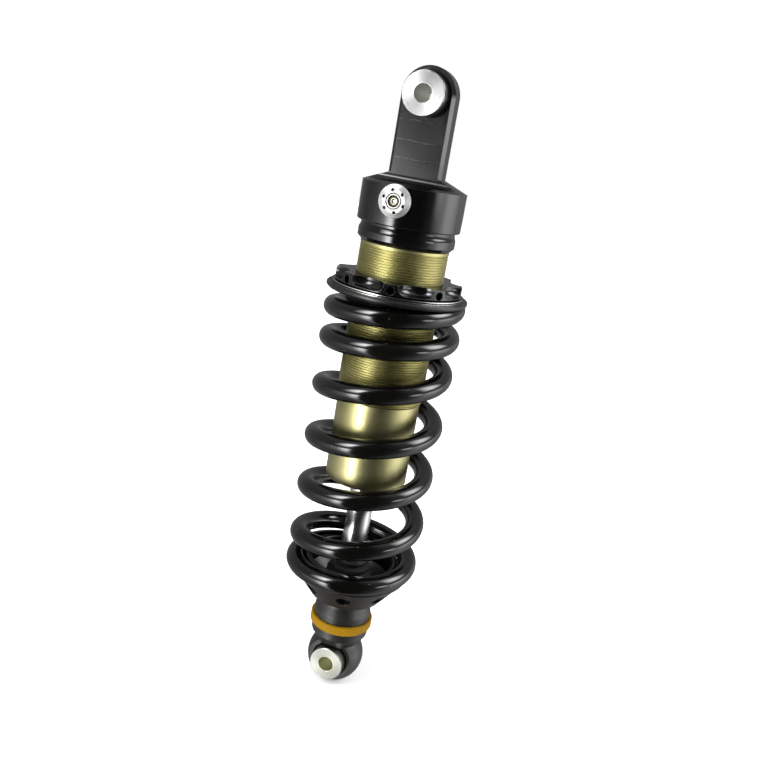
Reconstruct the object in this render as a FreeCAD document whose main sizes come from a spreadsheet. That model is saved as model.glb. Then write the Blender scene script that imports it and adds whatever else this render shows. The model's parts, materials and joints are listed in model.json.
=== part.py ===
"""Motorcycle rear coilover: a mono-tube damper with a threaded body, coil spring and spherical eyes.

The origin is the centre of the lower eye's bolt bore. +Z runs up the damper to the upper eye, both bolt
bores lie along Y, and the gas valve faces -Y. At rest the damper is fully extended. Lengths are in mm.
"""
import FreeCAD, Part
import math
import os
import re
import Sketcher

Vector = FreeCAD.Vector

# Each cell of the sheet: alias, number, meaning.
CELLS = (
    ("eye_to_eye", 355.0, "distance between the two bolt bores, fully extended"),
    ("bolt_radius", 5.0, "bolt bore in both eyes"),
    ("press_gap", 0.02, "gap left in a press fit"),
    ("overcut", 1.0, "how far a cut runs past the surface it starts at"),
    ("running_gap", 0.05, "radial gap of a sliding fit"),
    ("edge_break", 0.6, "chamfer on turned edges"),
    # Upper cap with its blade
    ("blade_width", 31.2, "blade across its flat sides, and its round end"),
    ("blade_thickness", 13.0, "blade front to back"),
    ("blade_chamfer", 1.9, "chamfer of the blade's edges"),
    ("blade_root", 300.0, "height where the blade starts inside the cap"),
    ("cap_radius", 30.1, "upper part of the cap"),
    ("cap_bottom", 272.7, "lower rim of the cap's skirt"),
    ("cap_step", 283.5, "height of the step between skirt and cap"),
    ("cap_rim", 305.6, "top of the cylindrical part"),
    ("cone_top", 313.2, "top of the cap's conical shoulder"),
    ("cone_top_radius", 12.0, "radius at the top of the shoulder"),
    ("mill_floor", 306.7, "floor milled beside the blade"),
    ("mill_round", 4.0, "rounding between that floor and the blade"),
    ("skirt_radius", 28.4, "bead of the skirt"),
    ("skirt_bead_top", 279.0, "height where the bead starts to narrow"),
    ("skirt_neck_radius", 27.4, "neck between the bead and the step"),
    ("skirt_neck", 281.2, "lower end of that neck"),
    ("skirt_blend", 4.0, "rounding between bead and neck"),
    ("skirt_end_radius", 26.5, "skirt radius below its chamfer"),
    ("skirt_chamfer", 2.0, "height of the skirt's chamfer"),
    ("socket_radius", 25.55, "socket for the tube"),
    ("socket_top", 289.5, "roof of the gas chamber"),
    # Tube
    ("tube_bottom", 126.8, "lower end of the tube"),
    ("tube_radius", 25.1, "plain part of the tube"),
    ("tube_bore", 22.0, "cylinder bore"),
    ("tube_neck_radius", 25.5, "end of the tube inside the cap"),
    ("tube_top", 288.9, "upper end of the tube"),
    ("thread_radius", 26.0, "crests of the preload thread"),
    ("thread_bottom", 180.0, "lower end of the thread"),
    ("thread_top", 272.1, "upper end of the thread"),
    ("thread_pitch", 1.5, "pitch of the thread"),
    ("thread_depth", 0.8, "depth of the thread"),
    ("thread_mouth", 0.45, "half the width of a groove's mouth, as a share of the pitch"),
    ("thread_root", 0.06, "half the width of a groove's root, as a share of the pitch"),
    ("thread_turns", 60, "number of grooves"),
    # Gas valve
    ("valve_offset", -1.35, "sideways place of the valve's axis"),
    ("valve_height", 297.4, "height of the valve's axis"),
    ("valve_seat", 28.3, "distance of its spot face from the damper's axis"),
    ("valve_radius", 9.1, "flange of the valve body"),
    ("valve_flange", 2.3, "height of the flange's cylindrical part"),
    ("valve_proud", 4.1, "height of the front face over the seat"),
    ("valve_face", 6.5, "front face"),
    ("valve_stem", 5.0, "screwed stem"),
    ("valve_stem_length", 9.0, "length of the stem"),
    ("valve_undercut", 1.5, "depth of the O-ring's groove in the stem"),
    ("valve_undercut_near", 2.2, "side of that groove near the flange"),
    ("valve_undercut_far", 4.0, "side of that groove near the stem's end"),
    ("valve_o_ring", 0.7, "section radius of the valve's O-ring"),
    ("valve_ring_inner", 3.9, "inner side of the ring cut in the face"),
    ("valve_ring_outer", 4.4, "outer side of that ring"),
    ("valve_ring_depth", 0.4, "depth of that ring"),
    ("valve_recess", 3.15, "recess for the screw"),
    ("valve_recess_depth", 2.2, "depth of the recess"),
    ("valve_pin_hole", 0.9, "spanner pin hole"),
    ("valve_pin_circle", 6.1, "radius of the circle of pin holes"),
    ("valve_pin_depth", 1.6, "depth of the pin holes"),
    ("valve_pin_turn", 12.5, "degrees from the top to the first pin hole"),
    ("valve_pin_count", 6, "number of pin holes"),
    ("screw_gap", 0.3, "gap around the filling screw"),
    ("screw_depth", 0.8, "how far the screw's head lies under the face"),
    ("screw_chamfer", 0.4, "chamfer of the screw's head"),
    ("screw_socket", 1.45, "corner radius of the screw's hexagon socket"),
    ("screw_socket_depth", 1.0, "depth of that socket"),
    ("gas_port", 1.2, "gas port in the cap"),
    # Seal head in the lower end of the tube
    ("head_bottom", 130.5, "lower face of the seal head"),
    ("head_o_ring", 148.0, "height of the seal head's O-ring"),
    ("wide_groove_half", 1.4, "half the width of an O-ring groove"),
    ("wide_groove_depth", 2.6, "depth of an O-ring groove"),
    ("wide_ring", 1.2, "section radius of the tube's O-rings"),
    ("seal_play", 0.4, "radial gap between the seal head and the rod"),
    ("head_top", 153.0, "upper face of the seal head"),
    ("wiper_radius", 12.0, "pocket for the wiper"),
    ("wiper_top", 137.0, "roof of the wiper's pocket"),
    ("seal_radius", 11.5, "pocket for the rod seal"),
    ("seal_bottom", 138.5, "floor of the seal's pocket"),
    ("seal_top", 144.0, "roof of the seal's pocket"),
    ("bush_radius", 9.5, "pocket for the rod bush"),
    ("bush_bottom", 146.0, "floor of the bush's pocket"),
    ("clip_height", 129.6, "height of the wire ring under the seal head"),
    ("clip_wire", 0.8, "wire radius of that ring"),
    ("cap_ring", 1.0, "section radius of the O-ring between tube and cap"),
    ("cap_groove_half", 1.2, "half the width of that ring's groove"),
    ("cap_groove_depth", 2.0, "depth of that ring's groove"),
    # Rod and piston
    ("rod_radius", 8.0, "piston rod"),
    ("rod_bottom", 34.0, "lower end of the rod, inside the lower eye"),
    ("rod_shoulder", 160.0, "shoulder under the piston stack"),
    ("rod_tenon", 6.0, "threaded end that holds the stack"),
    ("rod_top", 190.0, "upper end of the rod"),
    ("rod_bore", 2.5, "bore for the rebound needle"),
    ("needle_seat", 160.5, "height of the needle's seat"),
    ("jet_radius", 1.5, "jet above the seat"),
    ("port_height", 158.6, "height of the bleed port"),
    ("port_radius", 0.9, "bleed port"),
    ("bumper_radius", 13.0, "top-out bumper"),
    ("bumper_bottom", 153.4, "lower face of the bumper"),
    ("bumper_top", 157.0, "upper face of the bumper"),
    ("stack_washer", 1.5, "thickness of the washer on the shoulder"),
    ("shim_thickness", 0.3, "one shim"),
    ("shim_radius", 17.0, "largest shim"),
    ("shim_step", 1.8, "how much each shim is smaller than the last"),
    ("shim_count", 5, "shims on each side of the piston"),
    ("piston_radius", 21.4, "piston"),
    ("piston_height", 14.0, "height of the piston"),
    ("band_radius", 21.93, "sliding band on the piston"),
    ("band_groove", 20.2, "bottom of the band's groove"),
    ("band_height", 7.0, "height of the band's groove"),
    ("piston_port", 2.6, "piston port"),
    ("piston_port_circle", 13.0, "radius of the circle of ports"),
    ("piston_port_count", 6, "number of ports"),
    ("nut_corner", 10.4, "corner radius of the piston nut"),
    ("nut_height", 7.0, "height of the piston nut"),
    # Separating piston between oil and gas
    ("float_bottom", 250.0, "lower face of the floating piston"),
    ("float_height", 12.0, "height of the floating piston"),
    ("float_skirt", 17.5, "inner radius of its hollow"),
    ("float_web", 4.0, "thickness of its web"),
    # Lower eye
    ("ball_end_radius", 18.2, "ball-shaped end of the lower eye"),
    ("ball_end_half_width", 11.0, "half the width over its flats"),
    ("flat_top", 12.5, "height where the flats end"),
    ("flat_depth", 20.0, "depth of the cut that makes a flat"),
    ("eye_bore_margin", 4.0, "how far the lower eye's bore is cut past its flats"),
    ("neck_foot", 10.0, "height of the neck's foot inside the ball"),
    ("neck_foot_radius", 13.0, "neck's foot inside the ball"),
    ("collar_radius", 18.3, "collar of the lower eye"),
    ("collar_neck_radius", 14.6, "neck between ball and collar"),
    ("collar_neck", 12.4, "height of that neck"),
    ("collar_bottom", 17.9, "lower edge of the collar"),
    ("collar_round", 2.0, "rounding of that edge"),
    ("collar_top", 23.6, "upper face of the collar"),
    ("journal_radius", 15.5, "journal of the adjuster ring"),
    ("journal_top", 45.4, "top of the journal"),
    ("spigot_radius", 14.5, "spigot that centres the spring seat"),
    ("spigot_top", 58.0, "top of the lower eye"),
    ("needle_bore", 2.6, "bore for the needle in the eye"),
    ("needle_bore_bottom", 22.0, "bottom of that bore"),
    ("slot_half_width", 1.35, "slot for the cross pin"),
    ("slot_bottom", 24.6, "lower end of the slot"),
    ("slot_top", 28.8, "upper end of the slot"),
    # Rebound adjuster
    ("ring_radius", 20.05, "adjuster ring"),
    ("ring_bore", 15.6, "bore of the ring"),
    ("ring_bottom", 23.7, "lower face of the ring"),
    ("ring_top", 29.6, "upper face of the ring"),
    ("ring_groove", 17.9, "cam groove inside the ring"),
    ("pin_height", 26.7, "height of the cross pin"),
    ("pin_radius", 1.0, "cross pin"),
    ("pin_reach", 17.5, "half the length of the cross pin"),
    ("needle_radius", 2.2, "rebound needle"),
    ("needle_bottom", 25.0, "lower end of the needle"),
    ("needle_point", 160.9, "upper end of the needle's cone"),
    ("needle_cone", 3.0, "length of the cone"),
    ("needle_tip_radius", 0.6, "radius at the cone's end"),
    ("detent_ball", 1.2, "click ball"),
    ("detent_hole", 1.3, "hole for the click ball and its spring"),
    ("detent_depth", 6.0, "depth of that hole"),
    ("detent_height", 26.7, "height of the click ball"),
    ("detent_coil_inner", 0.6, "inner radius of the click ball's spring"),
    ("detent_coil_outer", 1.1, "outer radius of the click ball's spring"),
    ("retainer_radius", 18.3, "flange of the ring's retainer"),
    ("retainer_bottom", 29.7, "lower face of the retainer"),
    ("retainer_step", 34.2, "height where the flange starts to narrow"),
    ("retainer_neck", 16.2, "neck of the retainer"),
    ("retainer_neck_bottom", 40.4, "lower end of that neck"),
    ("retainer_blend", 4.0, "rounding between flange and neck"),
    ("retainer_top", 45.5, "top of the retainer"),
    # Lower spring seat and bump stop
    ("seat_plane", 63.5, "plane that the spring stands on"),
    ("seat_base_radius", 23.7, "foot of the seat's cone"),
    ("seat_cone_radius", 36.3, "cone under the rim"),
    ("seat_rim_radius", 36.9, "rim of the seat"),
    ("seat_rim", 0.9, "thickness of the rim"),
    ("seat_spigot", 29.2, "shoulder that centres the spring"),
    ("seat_spigot_top", 71.2, "top of the shoulder"),
    ("seat_cup", 26.3, "inner wall of the cup"),
    ("seat_cup_knee", 58.0, "height where the wall turns inwards"),
    ("seat_floor", 52.0, "floor of the cup"),
    ("seat_floor_radius", 20.5, "floor of the cup"),
    ("seat_hole", 4.6, "hole in the cone"),
    ("seat_hole_radius", 30.2, "distance of the holes' mouths from the damper's axis"),
    ("seat_hole_height", 54.3, "height of the holes' mouths"),
    ("seat_hole_tilt", 36.4, "degrees by which the holes point down"),
    ("seat_hole_depth", 3.6, "depth of the holes"),
    ("seat_hole_count", 8, "number of holes"),
    ("seat_hole_turn", 15.0, "degrees from -Y to the first hole"),
    ("bump_radius", 14.6, "foot of the bump stop"),
    ("bump_waist", 12.6, "middle ring of the bump stop"),
    ("bump_tip", 10.2, "top ring of the bump stop"),
    ("bump_step", 3.6, "height of the foot's cylindrical part"),
    ("bump_notch", 0.8, "depth of the notches between the rings"),
    ("bump_slope", 1.2, "height of one flank of a notch"),
    ("bump_band", 2.0, "height of the middle ring"),
    ("bump_top", 70.3, "top of the bump stop"),
    # Upper spring seat, washers and preload collar
    ("spring_top", 242.65, "plane that the spring's upper end bears on"),
    ("upper_seat_radius", 41.8, "flange of the upper spring seat"),
    ("upper_seat_chamfer", 1.2, "chamfer under the flange of the upper seat"),
    ("upper_seat_top", 245.65, "upper face of that flange"),
    ("upper_seat_bore", 26.4, "bore over the thread"),
    ("upper_seat_spigot_bottom", 236.15, "lower end of its centring sleeve"),
    ("washer_radius", 38.8, "slip washer"),
    ("washer_bore", 27.0, "bore of the slip washers"),
    ("washer_thickness", 0.55, "one slip washer"),
    ("washer_pitch", 0.6, "spacing of the slip washers"),
    ("washer_count", 3, "number of slip washers"),
    ("ring_nut_radius", 37.25, "preload collar"),
    ("ring_nut_bore", 26.1, "bore over the thread's crests"),
    ("ring_nut_bottom", 247.5, "lower face of the collar"),
    ("ring_nut_top", 254.05, "upper face of the collar"),
    ("scallop_radius", 12.9, "radius of a scallop's wall"),
    ("scallop_axis", 43.4, "distance of a scallop's own axis from the damper's axis"),
    ("scallop_floor", 248.55, "floor of a scallop"),
    ("scallop_round", 4.4, "rounding between a scallop's floor and wall"),
    ("scallop_count", 8, "number of scallops, and of holes between them"),
    ("scallop_turn", -12.4, "degrees from -Y to the first scallop"),
    ("bar_hole", 2.45, "hole for a tommy bar"),
    ("bar_hole_height", 250.55, "height of those holes"),
    ("bar_hole_depth", 8.0, "depth of those holes"),
    # Spring
    ("wire_radius", 5.85, "spring wire"),
    ("coil_radius", 35.75, "mean radius of the coils"),
    ("coil_turns", 7.22, "turns from tip to tip"),
    ("coil_start", 52.0, "azimuth of the lower tip in degrees"),
    ("coil_foot", 61.9, "height of the wire's centre at the lower tip"),
    ("pitch_lower", 11.5, "pitch of the lower end coil"),
    ("pitch_active", 32.8, "pitch of the active coils"),
    ("pitch_upper", 18.5, "pitch of the upper end coils"),
    ("lower_change", 1.12, "turn at which the lower end coil opens"),
    ("upper_change", 5.199, "turn at which the upper end coils close"),
    ("change_span", 0.6, "turns taken by a change of pitch"),
    ("coil_pieces", 30, "number of curves that make up the coil's path"),
    ("coil_knots", 7, "points on each of those curves"),
    # Spherical bearings: upper and lower
    ("race_radius", 12.0, "bore of both eyes"),
    ("clip_groove", 12.7, "groove for the bearing's clips"),
    ("clip_inner", 10.9, "inner radius of the bearing's clips"),
    ("clip_thickness", 0.95, "thickness of the clips"),
    ("clip_play", 0.05, "play of the clips"),
    ("race_wall", 3.5, "thickness of both races at their ends"),
    ("clip_arc", 330.0, "degrees covered by a clip"),
    ("bearing_gap", 0.08, "gap between ball and race"),
    ("ball_bore", 7.0, "bore of both balls"),
    ("sleeve_radius", 6.92, "sleeve of a spacer inside the ball"),
    ("top_ball_radius", 9.5, "upper ball"),
    ("top_ball_half", 5.7, "half the width of the upper ball"),
    ("top_race_half", 5.0, "half the width of the upper race"),
    ("top_neck_radius", 7.9, "neck of the upper spacers"),
    ("top_flange_inner", 8.0, "inner face of the upper spacers' flange"),
    ("top_flange_radius", 12.0, "flange of the upper spacers"),
    ("top_spacer_half", 16.0, "half the width over the upper spacers"),
    ("lower_ball_radius", 10.5, "lower ball"),
    ("lower_ball_half", 7.0, "half the width of the lower ball"),
    ("lower_race_half", 6.5, "half the width of the lower race"),
    ("lower_neck_radius", 7.7, "neck of the lower spacers"),
    ("lower_flange_inner", 9.4, "inner face of the lower spacers' flange"),
    ("lower_flange_radius", 11.0, "flange of the lower spacers"),
    ("lower_spacer_half", 17.2, "half the width over the lower spacers"),
)

doc = FreeCAD.newDocument("coilover")
sheet = doc.addObject("Spreadsheet::Sheet", "dims")
for row, (alias, number, meaning) in enumerate(CELLS, start=1):
    sheet.set(f"A{row}", alias)
    sheet.set(f"B{row}", str(number))
    sheet.set(f"C{row}", meaning)
    sheet.setAlias(f"B{row}", alias)
doc.recompute()

ALIAS = re.compile(r"\b(" + "|".join(alias for alias, number, meaning in CELLS) + r")\b")
FRONT = FreeCAD.Rotation(Vector(1, 0, 0), 90)
NEAR = 1e-4
nodes = []


def bound(expression):
    """The expression with each alias of the sheet written as a reference to its cell."""
    return ALIAS.sub(r"dims.\1", str(expression))


def value(expression):
    """The number that an expression over the sheet gives now."""
    result = sheet.evalExpression(bound(expression))
    return float(getattr(result, "Value", result))


def new_body(label):
    """An empty PartDesign body."""
    body = doc.addObject("PartDesign::Body", label)
    body.Label = label
    return body


def origin_feature(body, role):
    """One of the body's own origin planes or axes."""
    return next(feature for feature in body.Origin.OriginFeatures if feature.Role == role)


def new_sketch(body, role, offset="0"):
    """A sketch on one of the body's origin planes, moved along the plane's normal."""
    sketch = body.newObject("Sketcher::SketchObject", body.Name + "_sketch")
    sketch.AttachmentSupport = (origin_feature(body, role), [""])
    sketch.MapMode = "FlatFace"
    if offset != "0":
        sketch.setExpression("AttachmentOffset.Base.z", bound(offset))
    return sketch


def pin_point(sketch, geometry, end, x, y):
    """Fix one end of a sketch element at two expressions."""
    for kind, axis, expression in (("DistanceX", -2, x), ("DistanceY", -1, y)):
        if expression == "0":
            sketch.addConstraint(Sketcher.Constraint("PointOnObject", geometry, end, axis))
            continue
        number = value(expression)
        index = sketch.addConstraint(Sketcher.Constraint(kind, -1, 1, geometry, end, number))
        sketch.setExpression(f"Constraints[{index}]", bound(expression))


def draw_outline(sketch, points):
    """A closed outline of straight lines through points given as pairs of expressions."""
    places = [Vector(value(x), value(y), 0) for x, y in points]
    first = sketch.GeometryCount
    count = len(places)
    for index in range(count):
        sketch.addGeometry(Part.LineSegment(places[index], places[(index + 1) % count]), False)
    for index in range(count):
        following = first + (index + 1) % count
        sketch.addConstraint(Sketcher.Constraint("Coincident", first + index, 2, following, 1))
    for index, (x, y) in enumerate(points):
        pin_point(sketch, first + index, 1, x, y)


def draw_circle(sketch, x, y, radius):
    """A circle whose centre and radius are expressions."""
    circle = Part.Circle(Vector(value(x), value(y), 0), Vector(0, 0, 1), value(radius))
    index = sketch.addGeometry(circle, False)
    pin_point(sketch, index, 3, x, y)
    size = sketch.addConstraint(Sketcher.Constraint("Radius", index, value(radius)))
    sketch.setExpression(f"Constraints[{size}]", bound(radius))


def turn(body, points, angle="360", cut=False):
    """Turn an outline of (radius, height) pairs about the body's Z axis, adding or cutting."""
    sketch = new_sketch(body, "XZ_Plane")
    draw_outline(sketch, points)
    kind = "PartDesign::Groove" if cut else "PartDesign::Revolution"
    feature = body.newObject(kind, body.Name + "_turn")
    feature.Profile = sketch
    feature.ReferenceAxis = (sketch, ["V_Axis"])
    feature.setExpression("Angle", bound(angle))
    settle(body, feature, cut)
    return feature


def settle(body, feature, cut):
    """Make a feature the body's tip, and make sure that a cut has taken material away."""
    before = body.Shape.Volume if cut else None
    body.Tip = feature
    doc.recompute()
    if cut and not body.Shape.Volume < before - NEAR:
        raise RuntimeError(f"{feature.Name} cuts nothing from {body.Label}")


def pocket(body, sketch, depth, both_ways=False):
    """Cut a sketch's area into the body, against the sketch's normal or evenly both ways."""
    feature = body.newObject("PartDesign::Pocket", body.Name + "_pocket")
    feature.Profile = sketch
    feature.Type = 0
    feature.Midplane = both_ways
    feature.setExpression("Length", bound(depth))
    settle(body, feature, True)
    return feature


def polar(body, feature, count):
    """Repeat a feature evenly about the body's Z axis."""
    pattern = body.newObject("PartDesign::PolarPattern", body.Name + "_pattern")
    pattern.Originals = [feature]
    pattern.Axis = (origin_feature(body, "Z_Axis"), [""])
    pattern.Angle = 360
    pattern.setExpression("Occurrences", bound(count))
    settle(body, pattern, True)
    return pattern


def round_circle(body, radius, height, curve):
    """Round the circular edge that the body has at a radius and height about its Z axis."""
    tip = body.Tip
    chosen = []
    for index, edge in enumerate(tip.Shape.Edges, start=1):
        corner = edge.Vertexes[0]
        level = edge.isClosed() and abs(corner.Z - value(height)) < NEAR
        if level and abs(math.hypot(corner.X, corner.Y) - value(radius)) < NEAR:
            chosen.append(f"Edge{index}")
    fillet = body.newObject("PartDesign::Fillet", body.Name + "_round")
    fillet.Base = (tip, chosen)
    fillet.setExpression("Radius", bound(curve))
    settle(body, fillet, False)


def ring(label, inner, outer, bottom, top, chamfer="edge_break"):
    """A plain turned ring with chamfered outer edges."""
    body = new_body(label)
    turn(body, (
        (inner, bottom),
        (f"{outer} - {chamfer}", bottom),
        (outer, f"{bottom} + {chamfer}"),
        (outer, f"{top} - {chamfer}"),
        (f"{outer} - {chamfer}", top),
        (inner, top),
    ))
    return body


def thin_ring(label, inner, outer, bottom, top):
    """A ring with square edges, for thin pieces."""
    body = new_body(label)
    turn(body, ((inner, bottom), (outer, bottom), (outer, top), (inner, top)))
    return body


def o_ring(label, centre_radius, section, height):
    """A torus about the Z axis."""
    torus = doc.addObject("Part::Torus", label)
    torus.Label = label
    torus.setExpression("Radius1", bound(centre_radius))
    torus.setExpression("Radius2", bound(section))
    torus.setExpression("Placement.Base.z", bound(height))
    return torus


def group(label, pieces):
    """Several separate solids that share one node."""
    compound = doc.addObject("Part::Compound", label)
    compound.Label = label
    compound.Links = pieces
    return compound


def mirrored_pair(label, piece):
    """A piece and its mirror image across the XZ plane."""
    image = doc.addObject("Part::Mirroring", label + "_back")
    image.Source = piece
    image.Normal = Vector(0, 1, 0)
    return group(label, [piece, image])


def lay_along_y(piece, height):
    """Turn a piece so that its own Z axis points to -Y, at a height on the damper's axis."""
    piece.Placement = FreeCAD.Placement(Vector(0, 0, 0), FRONT)
    piece.setExpression("Placement.Base.z", bound(height))


def keep(*pieces):
    """Put finished pieces on the list of nodes."""
    nodes.extend(pieces)


# ---------------------------------------------------------------- upper cap and tube

def eye_bore(body, half_race, half_width, height):
    """Bore an eye along Y and cut the two clip grooves beside its race."""
    sketch = new_sketch(body, "YZ_Plane")
    clip_end = f"({half_race} + clip_thickness + 2 * clip_play)"
    wall = f"{height} + race_radius"
    floor = f"{height} + clip_groove"
    draw_outline(sketch, (
        (f"-({half_width} + overcut)", height),
        (f"-({half_width} + overcut)", wall),
        (f"-{clip_end}", wall),
        (f"-{clip_end}", floor),
        (f"-{half_race}", floor),
        (f"-{half_race}", wall),
        (half_race, wall),
        (half_race, floor),
        (clip_end, floor),
        (clip_end, wall),
        (f"{half_width} + overcut", wall),
        (f"{half_width} + overcut", height),
    ))
    axis_line = sketch.GeometryCount - 1
    groove = body.newObject("PartDesign::Groove", body.Name + "_eye")
    groove.Profile = sketch
    groove.ReferenceAxis = (sketch, [f"Edge{axis_line + 1}"])
    groove.Angle = 360
    settle(body, groove, True)


def join_ends(sketch, joins):
    """Join ends of sketch elements, each join given as (element, end, element, end)."""
    for first, first_end, second, second_end in joins:
        sketch.addConstraint(Sketcher.Constraint("Coincident", first, first_end, second, second_end))


def blade():
    """The flat blade with its round, bored end and chamfered edges."""
    body = new_body("cap_blade")
    sketch = new_sketch(body, "XZ_Plane")
    half = "blade_width / 2"
    left = value(half) * -1
    right = value(half)
    root = value("blade_root")
    eye = value("eye_to_eye")
    sketch.addGeometry(Part.LineSegment(Vector(left, root, 0), Vector(right, root, 0)), False)
    sketch.addGeometry(Part.LineSegment(Vector(right, root, 0), Vector(right, eye, 0)), False)
    arc = Part.ArcOfCircle(Part.Circle(Vector(0, eye, 0), Vector(0, 0, 1), right), 0, math.pi)
    sketch.addGeometry(arc, False)
    sketch.addGeometry(Part.LineSegment(Vector(left, eye, 0), Vector(left, root, 0)), False)
    join_ends(sketch, ((0, 2, 1, 1), (1, 2, 2, 1), (2, 2, 3, 1), (3, 2, 0, 1)))
    pin_point(sketch, 0, 1, f"-{half}", "blade_root")
    pin_point(sketch, 1, 1, half, "blade_root")
    pin_point(sketch, 2, 1, half, "eye_to_eye")
    pin_point(sketch, 2, 3, "0", "eye_to_eye")
    sketch.addConstraint(Sketcher.Constraint("Horizontal", 2, 1, 2, 2))
    pad = body.newObject("PartDesign::Pad", "cap_blade_pad")
    pad.Profile = sketch
    pad.Midplane = True
    pad.setExpression("Length", bound("blade_thickness"))
    settle(body, pad, False)
    face = value("blade_thickness") / 2
    outline = []
    for index, edge in enumerate(pad.Shape.Edges, start=1):
        box = edge.BoundBox
        on_face = abs(abs(box.Center.y) - face) < NEAR and box.YLength < NEAR
        if on_face and box.ZMax > root + NEAR:
            outline.append(f"Edge{index}")
    chamfer = body.newObject("PartDesign::Chamfer", "cap_blade_chamfer")
    chamfer.Base = (pad, outline)
    chamfer.setExpression("Size", bound("blade_chamfer"))
    settle(body, chamfer, False)
    eye_bore(body, "top_race_half", "blade_thickness / 2", "eye_to_eye")
    return body


def cap_blank():
    """The turned cap with its socket, milled beside the blade and bored for the gas valve."""
    body = new_body("cap_turned")
    turn(body, (
        ("skirt_end_radius", "cap_bottom"),
        ("skirt_radius", "cap_bottom + skirt_chamfer"),
        ("skirt_radius", "skirt_bead_top"),
        ("skirt_neck_radius", "skirt_neck"),
        ("skirt_neck_radius", "cap_step"),
        ("cap_radius - edge_break", "cap_step"),
        ("cap_radius", "cap_step + edge_break"),
        ("cap_radius", "cap_rim"),
        ("cone_top_radius", "cone_top"),
        ("0", "cone_top"),
        ("0", "socket_top"),
        ("socket_radius", "socket_top"),
        ("socket_radius", "cap_bottom"),
    ))
    round_circle(body, "skirt_radius", "skirt_bead_top", "skirt_blend")
    round_circle(body, "skirt_neck_radius", "skirt_neck", "skirt_blend")
    milling = new_sketch(body, "YZ_Plane")
    draw_milling(milling)
    front = pocket(body, milling, "4 * cap_radius", both_ways=True)
    mirror = body.newObject("PartDesign::Mirrored", "cap_turned_mirror")
    mirror.Originals = [front]
    mirror.MirrorPlane = (origin_feature(body, "XZ_Plane"), [""])
    settle(body, mirror, True)
    seat = new_sketch(body, "XZ_Plane", "cap_radius + overcut")
    draw_circle(seat, "valve_offset", "valve_height", "valve_radius + press_gap")
    pocket(body, seat, "cap_radius + overcut - valve_seat")
    stem = new_sketch(body, "XZ_Plane", "cap_radius + overcut")
    draw_circle(stem, "valve_offset", "valve_height", "valve_stem + 2 * running_gap")
    pocket(body, stem, "cap_radius + 2 * overcut - valve_seat + valve_stem_length")
    port = new_sketch(body, "XY_Plane", "valve_height")
    draw_circle(port, "valve_offset", "-(valve_seat - valve_stem_length + gas_port)", "gas_port")
    pocket(body, port, "valve_height - socket_top + overcut")
    return body


def draw_milling(sketch):
    """The area milled away in front of the blade, with a rounded inner corner."""
    wall = value("-blade_thickness / 2")
    floor = value("mill_floor")
    curve = value("mill_round")
    outside = value("-cap_radius - overcut")
    roof = value("cone_top + overcut")
    lines = (
        (Vector(outside, floor, 0), Vector(wall - curve, floor, 0)),
        (Vector(wall, floor + curve, 0), Vector(wall, roof, 0)),
        (Vector(wall, roof, 0), Vector(outside, roof, 0)),
        (Vector(outside, roof, 0), Vector(outside, floor, 0)),
    )
    for start, end in lines:
        sketch.addGeometry(Part.LineSegment(start, end), False)
    circle = Part.Circle(Vector(wall - curve, floor + curve, 0), Vector(0, 0, 1), curve)
    sketch.addGeometry(Part.ArcOfCircle(circle, 1.5 * math.pi, 2 * math.pi), False)
    join_ends(sketch, ((0, 2, 4, 1), (4, 2, 1, 1), (1, 2, 2, 1), (2, 2, 3, 1), (3, 2, 0, 1)))
    pin_point(sketch, 0, 1, "-(cap_radius + overcut)", "mill_floor")
    pin_point(sketch, 2, 2, "-(cap_radius + overcut)", "cone_top + overcut")
    pin_point(sketch, 1, 2, "-blade_thickness / 2", "cone_top + overcut")
    pin_point(sketch, 4, 2, "-blade_thickness / 2", "mill_floor + mill_round")
    pin_point(sketch, 4, 3, "-(blade_thickness / 2 + mill_round)", "mill_floor + mill_round")
    sketch.addConstraint(Sketcher.Constraint("Vertical", 4, 3, 4, 1))


def top_cap():
    """Cap and blade, one milled piece."""
    fuse = doc.addObject("Part::Fuse", "top_cap")
    fuse.Label = "top_cap"
    fuse.Base = cap_blank()
    fuse.Tool = blade()
    fuse.Refine = True
    return fuse


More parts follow.
